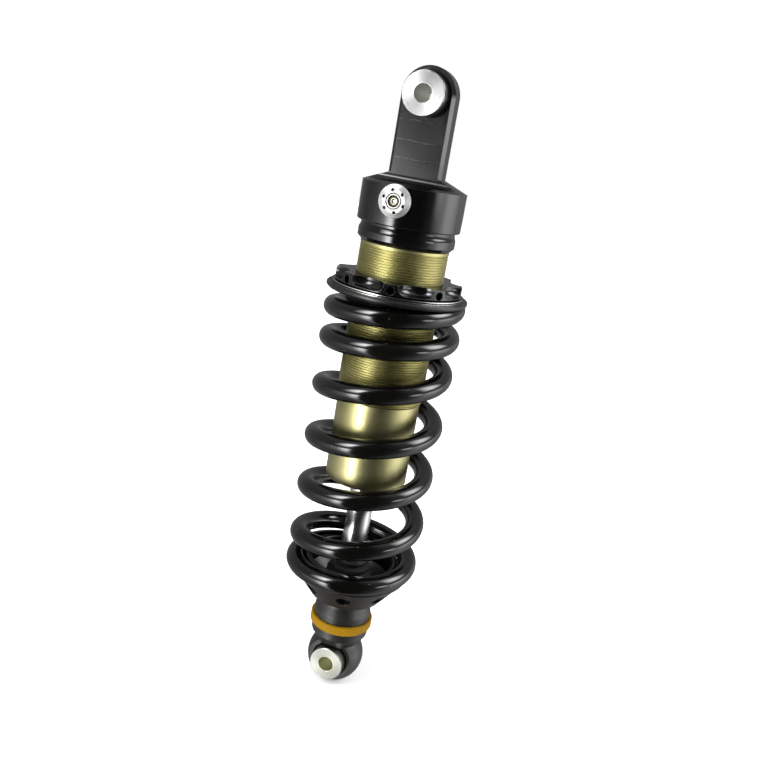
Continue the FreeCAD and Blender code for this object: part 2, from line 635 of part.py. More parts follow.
def damper_tube():
    """The cylinder with its preload thread, cut as a row of V grooves."""
    body = new_body("damper_tube")
    turn(body, (
        ("tube_bore", "tube_bottom"),
        ("tube_radius - edge_break", "tube_bottom"),
        ("tube_radius", "tube_bottom + edge_break"),
        ("tube_radius", "thread_bottom - edge_break"),
        ("thread_radius", "thread_bottom + edge_break"),
        ("thread_radius", "thread_top"),
        ("tube_neck_radius", "thread_top + edge_break"),
        ("tube_neck_radius", "tube_top"),
        ("tube_bore", "tube_top"),
    ))
    clip_floor = "tube_bore + clip_wire + 2 * running_gap"
    turn(body, (
        ("tube_bore - overcut", "clip_height - clip_wire - running_gap"),
        (clip_floor, "clip_height - clip_wire - running_gap"),
        (clip_floor, "clip_height + clip_wire + running_gap"),
        ("tube_bore - overcut", "clip_height + clip_wire + running_gap"),
    ), cut=True)
    turn(body, (
        ("tube_neck_radius - cap_groove_depth", "cap_step - cap_groove_half"),
        ("tube_neck_radius + overcut", "cap_step - cap_groove_half"),
        ("tube_neck_radius + overcut", "cap_step + cap_groove_half"),
        ("tube_neck_radius - cap_groove_depth", "cap_step + cap_groove_half"),
    ), cut=True)
    root = "thread_radius - thread_depth"
    start = "thread_bottom + thread_pitch"
    groove = turn(body, (
        ("thread_radius + running_gap", f"{start} - thread_mouth * thread_pitch"),
        (root, f"{start} - thread_root * thread_pitch"),
        (root, f"{start} + thread_root * thread_pitch"),
        ("thread_radius + running_gap", f"{start} + thread_mouth * thread_pitch"),
    ), cut=True)
    row = body.newObject("PartDesign::LinearPattern", "damper_tube_row")
    row.Originals = [groove]
    row.Direction = (origin_feature(body, "Z_Axis"), [""])
    row.setExpression("Length", bound("(thread_turns - 1) * thread_pitch"))
    row.setExpression("Occurrences", bound("thread_turns"))
    settle(body, row, True)
    return body


# ---------------------------------------------------------------- gas valve

def gas_valve_body():
    """The valve's stem and flange; its face carries a cut ring, spanner holes and a recess."""
    body = new_body("gas_valve_body")
    turn(body, (
        ("0", "-valve_stem_length"),
        ("valve_stem", "-valve_stem_length"),
        ("valve_stem", "-valve_undercut_far"),
        ("valve_stem - valve_undercut", "-valve_undercut_far"),
        ("valve_stem - valve_undercut", "-valve_undercut_near"),
        ("valve_stem", "-valve_undercut_near"),
        ("valve_stem", "0"),
        ("valve_radius", "0"),
        ("valve_radius", "valve_flange"),
        ("valve_face", "valve_proud"),
        ("valve_ring_outer", "valve_proud"),
        ("valve_ring_outer", "valve_proud - valve_ring_depth"),
        ("valve_ring_inner", "valve_proud - valve_ring_depth"),
        ("valve_ring_inner", "valve_proud"),
        ("valve_recess", "valve_proud"),
        ("valve_recess", "valve_proud - valve_recess_depth"),
        ("0", "valve_proud - valve_recess_depth"),
    ))
    hole = new_sketch(body, "XY_Plane", "valve_proud")
    draw_circle(hole, "-valve_pin_circle * sin(valve_pin_turn * 1 deg)",
                "valve_pin_circle * cos(valve_pin_turn * 1 deg)", "valve_pin_hole")
    polar(body, pocket(body, hole, "valve_pin_depth"), "valve_pin_count")
    return body


def gas_valve_screw():
    """The filling screw in the valve's recess, with a hexagon socket."""
    body = new_body("gas_valve_screw")
    floor = "valve_proud - valve_recess_depth"
    head = "valve_proud - screw_depth"
    side = "valve_recess - screw_gap"
    turn(body, (
        ("0", floor),
        (side, floor),
        (side, f"{head} - screw_chamfer"),
        (f"{side} - screw_chamfer", head),
        ("0", head),
    ))
    socket = body.newObject("PartDesign::SubtractivePrism", "gas_valve_socket")
    socket.Polygon = 6
    socket.setExpression("Circumradius", bound("screw_socket"))
    socket.setExpression("Height", bound("screw_socket_depth + overcut"))
    socket.setExpression("AttachmentOffset.Base.z", bound(f"{head} - screw_socket_depth"))
    socket.AttachmentSupport = (origin_feature(body, "XY_Plane"), [""])
    socket.MapMode = "FlatFace"
    settle(body, socket, True)
    return body


def gas_valve():
    """The three valve pieces, turned to face -Y at the cap's spot face."""
    pieces = (
        gas_valve_body(),
        gas_valve_screw(),
        o_ring("gas_valve_o_ring", "valve_stem - valve_o_ring", "valve_o_ring", "0"),
    )
    ring_depth = "(valve_undercut_near + valve_undercut_far) / 2"
    for piece, depth in zip(pieces, ("0", "0", ring_depth)):
        lay_along_y(piece, "valve_height")
        piece.setExpression("Placement.Base.x", bound("valve_offset"))
        piece.setExpression("Placement.Base.y", bound(f"{depth} - valve_seat"))
    return pieces


# ---------------------------------------------------------------- seal head

def seal_head():
    """The guide that closes the tube, with pockets for wiper, seal and bush."""
    body = new_body("seal_head")
    outer = "tube_bore - running_gap"
    rod = "rod_radius + seal_play"
    turn(body, (
        ("wiper_radius", "head_bottom"),
        (f"{outer} - edge_break", "head_bottom"),
        (outer, "head_bottom + edge_break"),
        (outer, "head_o_ring - wide_groove_half"),
        (f"{outer} - wide_groove_depth", "head_o_ring - wide_groove_half"),
        (f"{outer} - wide_groove_depth", "head_o_ring + wide_groove_half"),
        (outer, "head_o_ring + wide_groove_half"),
        (outer, "head_top"),
        ("bush_radius", "head_top"),
        ("bush_radius", "bush_bottom"),
        (rod, "bush_bottom"),
        (rod, "seal_top"),
        ("seal_radius", "seal_top"),
        ("seal_radius", "seal_bottom"),
        (rod, "seal_bottom"),
        (rod, "wiper_top"),
        ("wiper_radius", "wiper_top"),
    ))
    return body


def seal_head_set():
    """Seal head, its rings, and the three rings that the rod runs in."""
    rod = "rod_radius + running_gap"
    head = seal_head()
    ring_centre = "tube_bore - wide_ring - 2 * running_gap"
    head_ring = o_ring("seal_head_o_ring", ring_centre, "wide_ring", "head_o_ring")
    clip = o_ring("seal_head_clip", "tube_bore + running_gap", "clip_wire", "clip_height")
    bush = thin_ring("rod_bush", rod, "bush_radius - press_gap", "bush_bottom", "head_top")
    seal = thin_ring("rod_seal", rod, "seal_radius - press_gap", "seal_bottom", "seal_top")
    wiper = thin_ring("rod_wiper", rod, "wiper_radius - press_gap", "head_bottom", "wiper_top")
    return head, head_ring, clip, bush, seal, wiper


# ---------------------------------------------------------------- rod and piston

def piston_rod():
    """The hollow rod with its threaded end, jet and bleed port."""
    body = new_body("piston_rod")
    turn(body, (
        ("rod_bore", "rod_bottom"),
        ("rod_radius - edge_break", "rod_bottom"),
        ("rod_radius", "rod_bottom + edge_break"),
        ("rod_radius", "rod_shoulder"),
        ("rod_tenon", "rod_shoulder"),
        ("rod_tenon", "rod_top - edge_break"),
        ("rod_tenon - edge_break", "rod_top"),
        ("jet_radius", "rod_top"),
        ("jet_radius", "needle_seat"),
        ("rod_bore", "needle_seat"),
    ))
    port = new_sketch(body, "XZ_Plane", "rod_radius + overcut")
    draw_circle(port, "0", "port_height", "port_radius")
    pocket(body, port, "2 * (rod_radius + overcut)")
    return body


def shims(label, bottom, upwards):
    """A stack of thin discs that gets smaller away from the piston."""
    discs = []
    for index in range(int(value("shim_count"))):
        level = index if upwards else int(value("shim_count")) - 1 - index
        floor = f"{bottom} + {index} * shim_thickness"
        disc = thin_ring(f"{label}_{index + 1}", "rod_tenon + running_gap",
                         f"shim_radius - {level} * shim_step", floor, f"{floor} + shim_thickness")
        discs.append(disc)
    return group(label, discs)


def piston(bottom):
    """The piston with its band groove and ports."""
    body = new_body("piston")
    top = f"{bottom} + piston_height"
    lower = f"{bottom} + (piston_height - band_height) / 2"
    upper = f"{bottom} + (piston_height + band_height) / 2"
    turn(body, (
        ("rod_tenon + running_gap", bottom),
        ("piston_radius - edge_break", bottom),
        ("piston_radius", f"{bottom} + edge_break"),
        ("piston_radius", lower),
        ("band_groove", lower),
        ("band_groove", upper),
        ("piston_radius", upper),
        ("piston_radius", f"{top} - edge_break"),
        ("piston_radius - edge_break", top),
        ("rod_tenon + running_gap", top),
    ))
    port = new_sketch(body, "XY_Plane", top)
    draw_circle(port, "0", "piston_port_circle", "piston_port")
    polar(body, pocket(body, port, "piston_height"), "piston_port_count")
    band = thin_ring("piston_band", "band_groove + press_gap", "band_radius",
                     f"{lower} + press_gap", f"{upper} - press_gap")
    return body, band


def piston_nut(bottom):
    """The hexagon nut on top of the piston stack."""
    body = new_body("piston_nut")
    prism = body.newObject("PartDesign::AdditivePrism", "piston_nut_prism")
    prism.Polygon = 6
    prism.setExpression("Circumradius", bound("nut_corner"))
    prism.setExpression("Height", bound("nut_height"))
    settle(body, prism, False)
    bore = new_sketch(body, "XY_Plane", "nut_height")
    draw_circle(bore, "0", "0", "rod_tenon + running_gap")
    pocket(body, bore, "nut_height")
    body.setExpression("Placement.Base.z", bound(bottom))
    return body


def piston_set():
    """Everything on the rod's threaded end, from the shoulder upwards, and the top-out bumper."""
    stack = "shim_count * shim_thickness"
    washer_top = "rod_shoulder + stack_washer"
    piston_bottom = f"{washer_top} + {stack}"
    piston_top = f"{piston_bottom} + piston_height"
    washer = thin_ring("stack_washer", "rod_tenon + running_gap", "bumper_radius",
                       "rod_shoulder", washer_top)
    rebound = shims("rebound_shims", washer_top, upwards=False)
    compression = shims("compression_shims", piston_top, upwards=True)
    body, band = piston(piston_bottom)
    nut = piston_nut(f"{piston_top} + {stack}")
    bumper = ring("top_out_bumper", "rod_radius + press_gap", "bumper_radius",
                  "bumper_bottom", "bumper_top")
    return bumper, washer, rebound, body, band, compression, nut


def floating_piston():
    """The cup that keeps gas and oil apart, and its O-ring."""
    body = new_body("floating_piston")
    outer = "tube_bore - running_gap"
    top = "float_bottom + float_height"
    middle = "float_bottom + float_height / 2"
    turn(body, (
        ("0", "float_bottom"),
        (f"{outer} - edge_break", "float_bottom"),
        (outer, "float_bottom + edge_break"),
        (outer, f"{middle} - wide_groove_half"),
        (f"{outer} - wide_groove_depth", f"{middle} - wide_groove_half"),
        (f"{outer} - wide_groove_depth", f"{middle} + wide_groove_half"),
        (outer, f"{middle} + wide_groove_half"),
        (outer, f"{top} - edge_break"),
        (f"{outer} - edge_break", top),
        ("float_skirt", top),
        ("float_skirt", "float_bottom + float_web"),
        ("0", "float_bottom + float_web"),
    ))
    ring_centre = "tube_bore - wide_ring - 2 * running_gap"
    return body, o_ring("floating_piston_o_ring", ring_centre, "wide_ring", middle)


# ---------------------------------------------------------------- lower eye and rebound adjuster

def lower_eye():
    """Ball-shaped eye, collar, journal and spigot, bored for bearing, rod, needle and cross pin."""
    body = new_body("lower_eye")
    ball = body.newObject("PartDesign::AdditiveSphere", "lower_eye_ball")
    ball.setExpression("Radius", bound("ball_end_radius"))
    settle(body, ball, False)
    for side in (-1, 1):
        flat = new_sketch(body, "XZ_Plane", f"{-side} * (ball_end_half_width + flat_depth)")
        draw_outline(flat, (
            ("-(ball_end_radius + overcut)", "-(ball_end_radius + overcut)"),
            ("ball_end_radius + overcut", "-(ball_end_radius + overcut)"),
            ("ball_end_radius + overcut", "flat_top"),
            ("-(ball_end_radius + overcut)", "flat_top"),
        ))
        feature = body.newObject("PartDesign::Pocket", "lower_eye_flat")
        feature.Profile = flat
        feature.Reversed = side == 1
        feature.setExpression("Length", bound("flat_depth"))
        settle(body, feature, True)
    turn(body, (
        ("0", "neck_foot"),
        ("neck_foot_radius", "neck_foot"),
        ("collar_neck_radius", "collar_neck"),
        ("collar_radius", "collar_bottom"),
        ("collar_radius", "collar_top - edge_break"),
        ("collar_radius - edge_break", "collar_top"),
        ("journal_radius", "collar_top"),
        ("journal_radius", "journal_top"),
        ("spigot_radius", "journal_top"),
        ("spigot_radius", "spigot_top - edge_break"),
        ("spigot_radius - edge_break", "spigot_top"),
        ("rod_radius + press_gap", "spigot_top"),
        ("rod_radius + press_gap", "rod_bottom"),
        ("needle_bore", "rod_bottom"),
        ("needle_bore", "needle_bore_bottom"),
        ("0", "needle_bore_bottom"),
    ))
    round_circle(body, "collar_radius", "collar_bottom", "collar_round")
    slot = new_sketch(body, "YZ_Plane")
    draw_outline(slot, (
        ("-slot_half_width", "slot_bottom"),
        ("slot_half_width", "slot_bottom"),
        ("slot_half_width", "slot_top"),
        ("-slot_half_width", "slot_top"),
    ))
    pocket(body, slot, "2 * (journal_radius + overcut)", both_ways=True)
    click = new_sketch(body, "XZ_Plane", "journal_radius + overcut")
    draw_circle(click, "0", "detent_height", "detent_hole")
    pocket(body, click, "detent_depth + overcut")
    eye_bore(body, "lower_race_half", "ball_end_half_width + eye_bore_margin", "0")
    return body


def rebound_ring():
    """The knob ring; the cross pin rides in the groove inside it."""
    body = new_body("rebound_ring")
    turn(body, (
        ("ring_bore", "ring_bottom"),
        ("ring_radius - edge_break", "ring_bottom"),
        ("ring_radius", "ring_bottom + edge_break"),
        ("ring_radius", "ring_top - edge_break"),
        ("ring_radius - edge_break", "ring_top"),
        ("ring_bore", "ring_top"),
        ("ring_bore", "slot_top"),
        ("ring_groove", "slot_top"),
        ("ring_groove", "slot_bottom"),
        ("ring_bore", "slot_bottom"),
    ))
    return body


def rebound_needle():
    """The long needle in the rod, drilled for its cross pin."""
    body = new_body("rebound_needle")
    turn(body, (
        ("0", "needle_bottom"),
        ("needle_radius", "needle_bottom"),
        ("needle_radius", "needle_point - needle_cone"),
        ("needle_tip_radius", "needle_point"),
        ("0", "needle_point"),
    ))
    hole = new_sketch(body, "YZ_Plane")
    draw_circle(hole, "0", "pin_height", "pin_radius + press_gap")
    pocket(body, hole, "2 * (needle_radius + overcut)", both_ways=True)
    pin = new_body("needle_cross_pin")
    bar = new_sketch(pin, "YZ_Plane")
    draw_circle(bar, "0", "pin_height", "pin_radius")
    pad = pin.newObject("PartDesign::Pad", "needle_cross_pin_pad")
    pad.Profile = bar
    pad.Midplane = True
    pad.setExpression("Length", bound("2 * pin_reach"))
    settle(pin, pad, False)
    return body, pin


def detent():
    """The click ball and its spring, drawn as a hollow column, in a hole that faces -Y."""
    ball = doc.addObject("Part::Sphere", "detent_ball")
    ball.Label = "detent_ball"
    ball.setExpression("Radius", bound("detent_ball"))
    ball.setExpression("Placement.Base.y", bound("-(journal_radius - detent_ball / 2)"))
    ball.setExpression("Placement.Base.z", bound("detent_height"))
    coil = new_body("detent_spring")
    turn(coil, (
        ("detent_coil_inner", "journal_radius - detent_depth"),
        ("detent_coil_outer", "journal_radius - detent_depth"),
        ("detent_coil_outer", "journal_radius - 2 * detent_ball"),
        ("detent_coil_inner", "journal_radius - 2 * detent_ball"),
    ))
    lay_along_y(coil, "detent_height")
    return ball, coil


def adjuster_retainer():
    """The sleeve that holds the adjuster ring down and carries the spring seat."""
    body = new_body("adjuster_retainer")
    turn(body, (
        ("journal_radius + press_gap", "retainer_bottom"),
        ("retainer_radius", "retainer_bottom"),
        ("retainer_radius", "retainer_step"),
        ("retainer_neck", "retainer_neck_bottom"),
        ("retainer_neck", "retainer_top"),
        ("journal_radius + press_gap", "retainer_top"),
    ))
    round_circle(body, "retainer_radius", "retainer_step", "retainer_blend")
    round_circle(body, "retainer_neck", "retainer_neck_bottom", "retainer_blend")
    return body


# ---------------------------------------------------------------- spring, seats and collar

def lower_spring_seat():
    """The conical seat with its cup, centring shoulder and eight blind holes."""
    body = new_body("lower_spring_seat")
    rim_bottom = "seat_plane - seat_rim"
    turn(body, (
        ("spigot_radius + running_gap", "retainer_top"),
        ("seat_base_radius - edge_break", "retainer_top"),
        ("seat_base_radius", "retainer_top + edge_break / 2"),
        ("seat_cone_radius", rim_bottom),
        ("seat_rim_radius", rim_bottom),
        ("seat_rim_radius", "seat_plane"),
        ("seat_spigot", "seat_plane"),
        ("seat_spigot", "seat_spigot_top - 1.5 * edge_break"),
        ("seat_spigot - 1.5 * edge_break", "seat_spigot_top"),
        ("seat_cup + edge_break", "seat_spigot_top"),
        ("seat_cup", "seat_spigot_top - edge_break"),
        ("seat_cup", "seat_cup_knee"),
        ("seat_floor_radius", "seat_floor"),
        ("spigot_radius + running_gap", "seat_floor"),
    ))
    hole = new_sketch(body, "XZ_Plane")
    tilt = FreeCAD.Rotation(Vector(1, 0, 0), value("seat_hole_tilt"))
    mouth = Vector(0, value("seat_hole_height"), value("seat_hole_radius"))
    outwards = tilt.multVec(Vector(0, 0, value("overcut")))
    hole.AttachmentOffset = FreeCAD.Placement(mouth + outwards, tilt)
    draw_circle(hole, "0", "0", "seat_hole")
    polar(body, pocket(body, hole, "seat_hole_depth + overcut"), "seat_hole_count")
    body.Placement = FreeCAD.Placement(Vector(), Vector(0, 0, 1), value("seat_hole_turn"))
    body.setExpression("Placement.Rotation.Angle", bound("seat_hole_turn * 1 deg"))
    return body


def bump_stop():
    """The stepped rubber buffer at the foot of the rod."""
    body = new_body("bump_stop")
    rod = "rod_radius + running_gap"
    turn(body, (
        (rod, "spigot_top"),
        ("bump_radius", "spigot_top"),
        ("bump_radius", "spigot_top + bump_step"),
        ("bump_waist - bump_notch", "spigot_top + bump_step + bump_slope"),
        ("bump_waist", "spigot_top + bump_step + 2 * bump_slope"),
        ("bump_waist", "spigot_top + bump_step + 2 * bump_slope + bump_band"),
        ("bump_tip - bump_notch", "spigot_top + bump_step + 3 * bump_slope + bump_band"),
        ("bump_tip", "spigot_top + bump_step + 3 * bump_slope + bump_band + bump_notch"),
        ("bump_tip", "bump_top - edge_break"),
        ("bump_tip - edge_break", "bump_top"),
        (rod, "bump_top"),
    ))
    return body


def upper_spring_seat():
    """The flanged seat that centres the spring under the preload collar."""
    body = new_body("upper_spring_seat")
    turn(body, (
        ("upper_seat_bore", "upper_seat_spigot_bottom"),
        ("seat_spigot - edge_break", "upper_seat_spigot_bottom"),
        ("seat_spigot", "upper_seat_spigot_bottom + edge_break"),
        ("seat_spigot", "spring_top"),
        ("upper_seat_radius - upper_seat_chamfer", "spring_top"),
        ("upper_seat_radius", "spring_top + upper_seat_chamfer"),
        ("upper_seat_radius", "upper_seat_top - edge_break"),
        ("upper_seat_radius - edge_break", "upper_seat_top"),
        ("upper_seat_bore", "upper_seat_top"),
    ))
    return body


def slip_washers():
    """Thin loose washers between the seat and the collar."""
    washers = []
    for index in range(int(value("washer_count"))):
        floor = f"upper_seat_top + running_gap / 2 + {index} * washer_pitch"
        washer = thin_ring(f"slip_washer_{index + 1}", "washer_bore", "washer_radius",
                           floor, f"{floor} + washer_thickness")
        washers.append(washer)
    return group("slip_washers", washers)


def preload_collar():
    """The collar on the thread, with scallops for a hook spanner and holes for a bar."""
    body = ring("preload_collar", "ring_nut_bore", "ring_nut_radius",
                "ring_nut_bottom", "ring_nut_top")
    sketch = new_sketch(body, "XZ_Plane")
    sketch.setExpression("AttachmentOffset.Base.x", bound("scallop_axis"))
    draw_scallop(sketch)
    scallop = body.newObject("PartDesign::Groove", "preload_collar_scallop")
    scallop.Profile = sketch
    scallop.ReferenceAxis = (sketch, ["V_Axis"])
    scallop.Angle = 360
    settle(body, scallop, True)
    polar(body, scallop, "scallop_count")
    hole = new_sketch(body, "XZ_Plane")
    between = FreeCAD.Rotation(Vector(0, 1, 0), value("180 / scallop_count"))
    reach = Vector(0, 0, value("ring_nut_radius + overcut"))
    hole.AttachmentOffset = FreeCAD.Placement(between.multVec(reach), between)
    draw_circle(hole, "0", "bar_hole_height", "bar_hole")
    polar(body, pocket(body, hole, "bar_hole_depth + overcut"), "scallop_count")
    body.Placement = FreeCAD.Placement(Vector(), Vector(0, 0, 1), value("scallop_turn"))
    body.setExpression("Placement.Rotation.Angle", bound("scallop_turn * 1 deg"))
    return body


def draw_scallop(sketch):
    """Half of the scallop cutter's section about its own axis, with a rounded corner."""
    wall = value("-scallop_radius")
    floor = value("scallop_floor")
    curve = value("scallop_round")
    roof = value("ring_nut_top + overcut")
    lines = (
        (Vector(0, roof, 0), Vector(0, floor, 0)),
        (Vector(0, floor, 0), Vector(wall + curve, floor, 0)),
        (Vector(wall, floor + curve, 0), Vector(wall, roof, 0)),
        (Vector(wall, roof, 0), Vector(0, roof, 0)),
    )
    for start, end in lines:
        sketch.addGeometry(Part.LineSegment(start, end), False)
    circle = Part.Circle(Vector(wall + curve, floor + curve, 0), Vector(0, 0, 1), curve)
    sketch.addGeometry(Part.ArcOfCircle(circle, math.pi, 1.5 * math.pi), False)
    join_ends(sketch, ((0, 2, 1, 1), (1, 2, 4, 2), (4, 1, 2, 1), (2, 2, 3, 1), (3, 2, 0, 1)))
    pin_point(sketch, 0, 1, "0", "ring_nut_top + overcut")
    pin_point(sketch, 0, 2, "0", "scallop_floor")
    pin_point(sketch, 2, 2, "-scallop_radius", "ring_nut_top + overcut")
    pin_point(sketch, 2, 1, "-scallop_radius", "scallop_floor + scallop_round")
    pin_point(sketch, 4, 3, "-scallop_radius + scallop_round", "scallop_floor + scallop_round")
    sketch.addConstraint(Sketcher.Constraint("Vertical", 4, 3, 4, 2))


def eased(turns, change, span):
    """Integral of a smooth step from 0 to 1 that is centred on a change and takes a span."""
    share = (turns - change) / span + 0.5
    if share <= 0:
        return 0.0
    if share >= 1:
        return turns - change
    return span * (share ** 3 - 0.5 * share ** 4)


def coil_spring():
    """A right-handed spring of round wire whose end coils are closer and ground flat."""
    radius = value("coil_radius")
    turns = value("coil_turns")
    span = value("change_span")
    lower, active, upper = value("pitch_lower"), value("pitch_active"), value("pitch_upper")

    def centre(along):
        height = value("coil_foot") + lower * along
        height += (active - lower) * eased(along, value("lower_change"), span)
        height += (upper - active) * eased(along, value("upper_change"), span)
        azimuth = math.radians(value("coil_start")) + 2 * math.pi * along
        return Vector(radius * math.cos(azimuth), radius * math.sin(azimuth), height)

    def heading(along):
        step = 1e-4
        return (centre(along + step) - centre(along - step)).normalize()

    spans = int(value("coil_pieces"))
    knots = int(value("coil_knots"))
    edges = []
    for index in range(spans):
        start = turns * index / spans
        end = turns * (index + 1) / spans
        points = [centre(start + (end - start) * knot / (knots - 1)) for knot in range(knots)]
        curve = Part.BSplineCurve()
        curve.interpolate(Points=points, InitialTangent=heading(start), FinalTangent=heading(end))
        edges.append(curve.toShape())
    section = Part.Wire([Part.makeCircle(value("wire_radius"), centre(0), heading(0))])
    wire = Part.Wire(edges).makePipeShell([section], True, False)
    height = value("spring_top - seat_plane")
    between_seats = Part.makeCylinder(2 * radius, height, Vector(0, 0, value("seat_plane")))
    spring = doc.addObject("Part::Feature", "coil_spring")
    spring.Label = "coil_spring"
    spring.Shape = wire.common(between_seats).Solids[0]
    spring.Placement = FreeCAD.Placement()
    return spring


# ---------------------------------------------------------------- spherical bearings

def bearing(name, height):
    """Race, clips, ball and the pair of spacers of one eye; name is top or lower."""
    ball_radius = f"{name}_ball_radius"
    ball_half = f"{name}_ball_half"
    race_half = f"{name}_race_half"
    race = new_body(f"{name}_bearing_race")
    turn(race, (
        ("race_radius - race_wall", f"-{race_half}"),
        ("race_radius - press_gap", f"-{race_half}"),
        ("race_radius - press_gap", race_half),
        ("race_radius - race_wall", race_half),
    ))
    hollow = race.newObject("PartDesign::SubtractiveSphere", f"{name}_race_hollow")
    hollow.setExpression("Radius", bound(f"{ball_radius} + bearing_gap"))
    settle(race, hollow, True)

    clip = new_body(f"{name}_bearing_clip")
    clip_start = f"{race_half} + clip_play"
    turn(clip, (
        ("clip_inner", clip_start),
        ("clip_groove - clip_play", clip_start),
        ("clip_groove - clip_play", f"{clip_start} + clip_thickness"),
        ("clip_inner", f"{clip_start} + clip_thickness"),
    ), angle="clip_arc")

    ball = new_body(f"{name}_ball")
    sphere = ball.newObject("PartDesign::AdditiveSphere", f"{name}_ball_sphere")
    sphere.setExpression("Radius", bound(ball_radius))
    settle(ball, sphere, False)
    for side in ("", "-"):
        outside = f"{ball_radius} + overcut"
        end = f"{side}({outside})"
        face = f"{side}{ball_half}"
        turn(ball, (("0", face), (outside, face), (outside, end), ("0", end)), cut=True)
    turn(ball, (("0", f"-{ball_radius}"), ("ball_bore", f"-{ball_radius}"),
                ("ball_bore", ball_radius), ("0", ball_radius)), cut=True)

    spacer = new_body(f"{name}_spacer_front")
    outer_face = f"{name}_spacer_half"
    flange = f"{name}_flange_radius"
    turn(spacer, (
        ("bolt_radius", "0"),
        ("sleeve_radius", "0"),
        ("sleeve_radius", f"{ball_half} + running_gap"),
        (f"{name}_neck_radius", f"{ball_half} + running_gap"),
        (f"{name}_neck_radius", f"{name}_flange_inner"),
        (flange, f"{name}_flange_inner"),
        (flange, f"{outer_face} - edge_break / 2"),
        (f"{flange} - edge_break / 2", outer_face),
        ("bolt_radius", outer_face),
    ))
    for piece in (race, clip, ball, spacer):
        lay_along_y(piece, height)
    clips = mirrored_pair(f"{name}_bearing_clips", clip)
    spacers = mirrored_pair(f"{name}_spacers", spacer)
    return race, clips, ball, spacers


# ---------------------------------------------------------------- assembly and files

def check(pieces):
    """Stop if any object of the document failed, or a node's shape is missing or invalid."""
    for item in doc.Objects:
        if {"Invalid", "Error"} & set(item.State):
            raise RuntimeError(f"{item.Name} failed: {item.State}")
    for piece in pieces:
        if piece.Shape.isNull() or not piece.Shape.isValid():
            raise RuntimeError(f"{piece.Label} has no valid shape")


def write_steps(pieces):
    """Write one STEP file for each node."""
    os.makedirs("parts", exist_ok=True)
    for piece in pieces:
        piece.Shape.exportStep(f"parts/{piece.Label}.step")
        print(f"{piece.Label}: {len(piece.Shape.Solids)} solid(s), {piece.Shape.Volume:.1f} mm3")


keep(top_cap(), damper_tube())
keep(o_ring("cap_o_ring", "tube_neck_radius - cap_ring", "cap_ring", "cap_step"))
keep(*gas_valve())
keep(*seal_head_set())
keep(piston_rod(), *piston_set())
keep(*floating_piston())
keep(lower_eye(), rebound_ring(), *rebound_needle(), *detent(), adjuster_retainer())
keep(lower_spring_seat(), bump_stop(), upper_spring_seat(), slip_washers(), preload_collar())
keep(coil_spring())
keep(*bearing("top", "eye_to_eye"))
keep(*bearing("lower", "0"))
doc.recompute()
check(nodes)
write_steps(nodes)
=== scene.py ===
"""Looks of the coilover: its studio, its coil spring, and the finish of every piece.

Lengths are in metres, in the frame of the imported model: +Z runs up the damper, the gas valve faces -Y.
"""
import json
import math

import bpy
import numpy as np
from mathutils import Matrix, Vector

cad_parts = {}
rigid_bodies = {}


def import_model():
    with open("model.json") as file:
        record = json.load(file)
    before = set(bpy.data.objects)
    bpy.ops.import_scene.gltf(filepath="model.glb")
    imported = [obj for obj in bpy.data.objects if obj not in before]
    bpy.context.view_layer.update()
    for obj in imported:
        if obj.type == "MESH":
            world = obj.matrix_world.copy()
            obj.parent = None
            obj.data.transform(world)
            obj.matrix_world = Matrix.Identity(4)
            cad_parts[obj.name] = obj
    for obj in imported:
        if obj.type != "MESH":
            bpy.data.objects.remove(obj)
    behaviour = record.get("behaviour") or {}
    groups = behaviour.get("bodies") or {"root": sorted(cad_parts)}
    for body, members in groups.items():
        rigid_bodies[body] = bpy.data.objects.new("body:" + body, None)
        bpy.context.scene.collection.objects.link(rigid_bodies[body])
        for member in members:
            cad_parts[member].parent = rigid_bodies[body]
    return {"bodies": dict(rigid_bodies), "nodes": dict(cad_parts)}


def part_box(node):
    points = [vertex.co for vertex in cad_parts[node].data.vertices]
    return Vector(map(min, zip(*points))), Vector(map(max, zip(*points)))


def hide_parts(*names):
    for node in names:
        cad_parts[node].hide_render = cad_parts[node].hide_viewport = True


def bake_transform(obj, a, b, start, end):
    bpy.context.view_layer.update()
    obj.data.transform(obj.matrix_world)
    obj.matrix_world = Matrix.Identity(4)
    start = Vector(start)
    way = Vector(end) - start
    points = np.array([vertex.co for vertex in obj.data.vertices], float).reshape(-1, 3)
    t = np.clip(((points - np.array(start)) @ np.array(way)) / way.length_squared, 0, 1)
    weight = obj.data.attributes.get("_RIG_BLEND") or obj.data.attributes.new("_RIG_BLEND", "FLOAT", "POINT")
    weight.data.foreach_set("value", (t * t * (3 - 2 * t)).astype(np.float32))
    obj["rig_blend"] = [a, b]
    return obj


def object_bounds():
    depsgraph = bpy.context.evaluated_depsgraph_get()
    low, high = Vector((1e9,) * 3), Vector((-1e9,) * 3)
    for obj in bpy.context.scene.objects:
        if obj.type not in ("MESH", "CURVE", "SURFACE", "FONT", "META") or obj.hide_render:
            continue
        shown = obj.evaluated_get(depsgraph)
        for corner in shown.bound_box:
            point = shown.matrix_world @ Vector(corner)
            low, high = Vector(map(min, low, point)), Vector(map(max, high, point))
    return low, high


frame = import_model()
cad_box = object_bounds()
scene = bpy.context.scene
mm = 0.001

# ---------------------------------------------------------------- camera and studio

CAMERA_PLACE = Vector((0.13527, -0.47475, 0.32772))
CAMERA_TURN = math.radians(15.83)
CAMERA_TILT = math.radians(-15.77)
CAMERA_ROLL = math.radians(9.78)
CAMERA_LENS = 39.87
SENSOR_WIDTH = 36
FLOOR_SIZE = 4.0
FLOOR_GAP = 0.2 * mm
FLOOR_GLOW = 0.2
AIM = Vector((0, 0, 0.17))


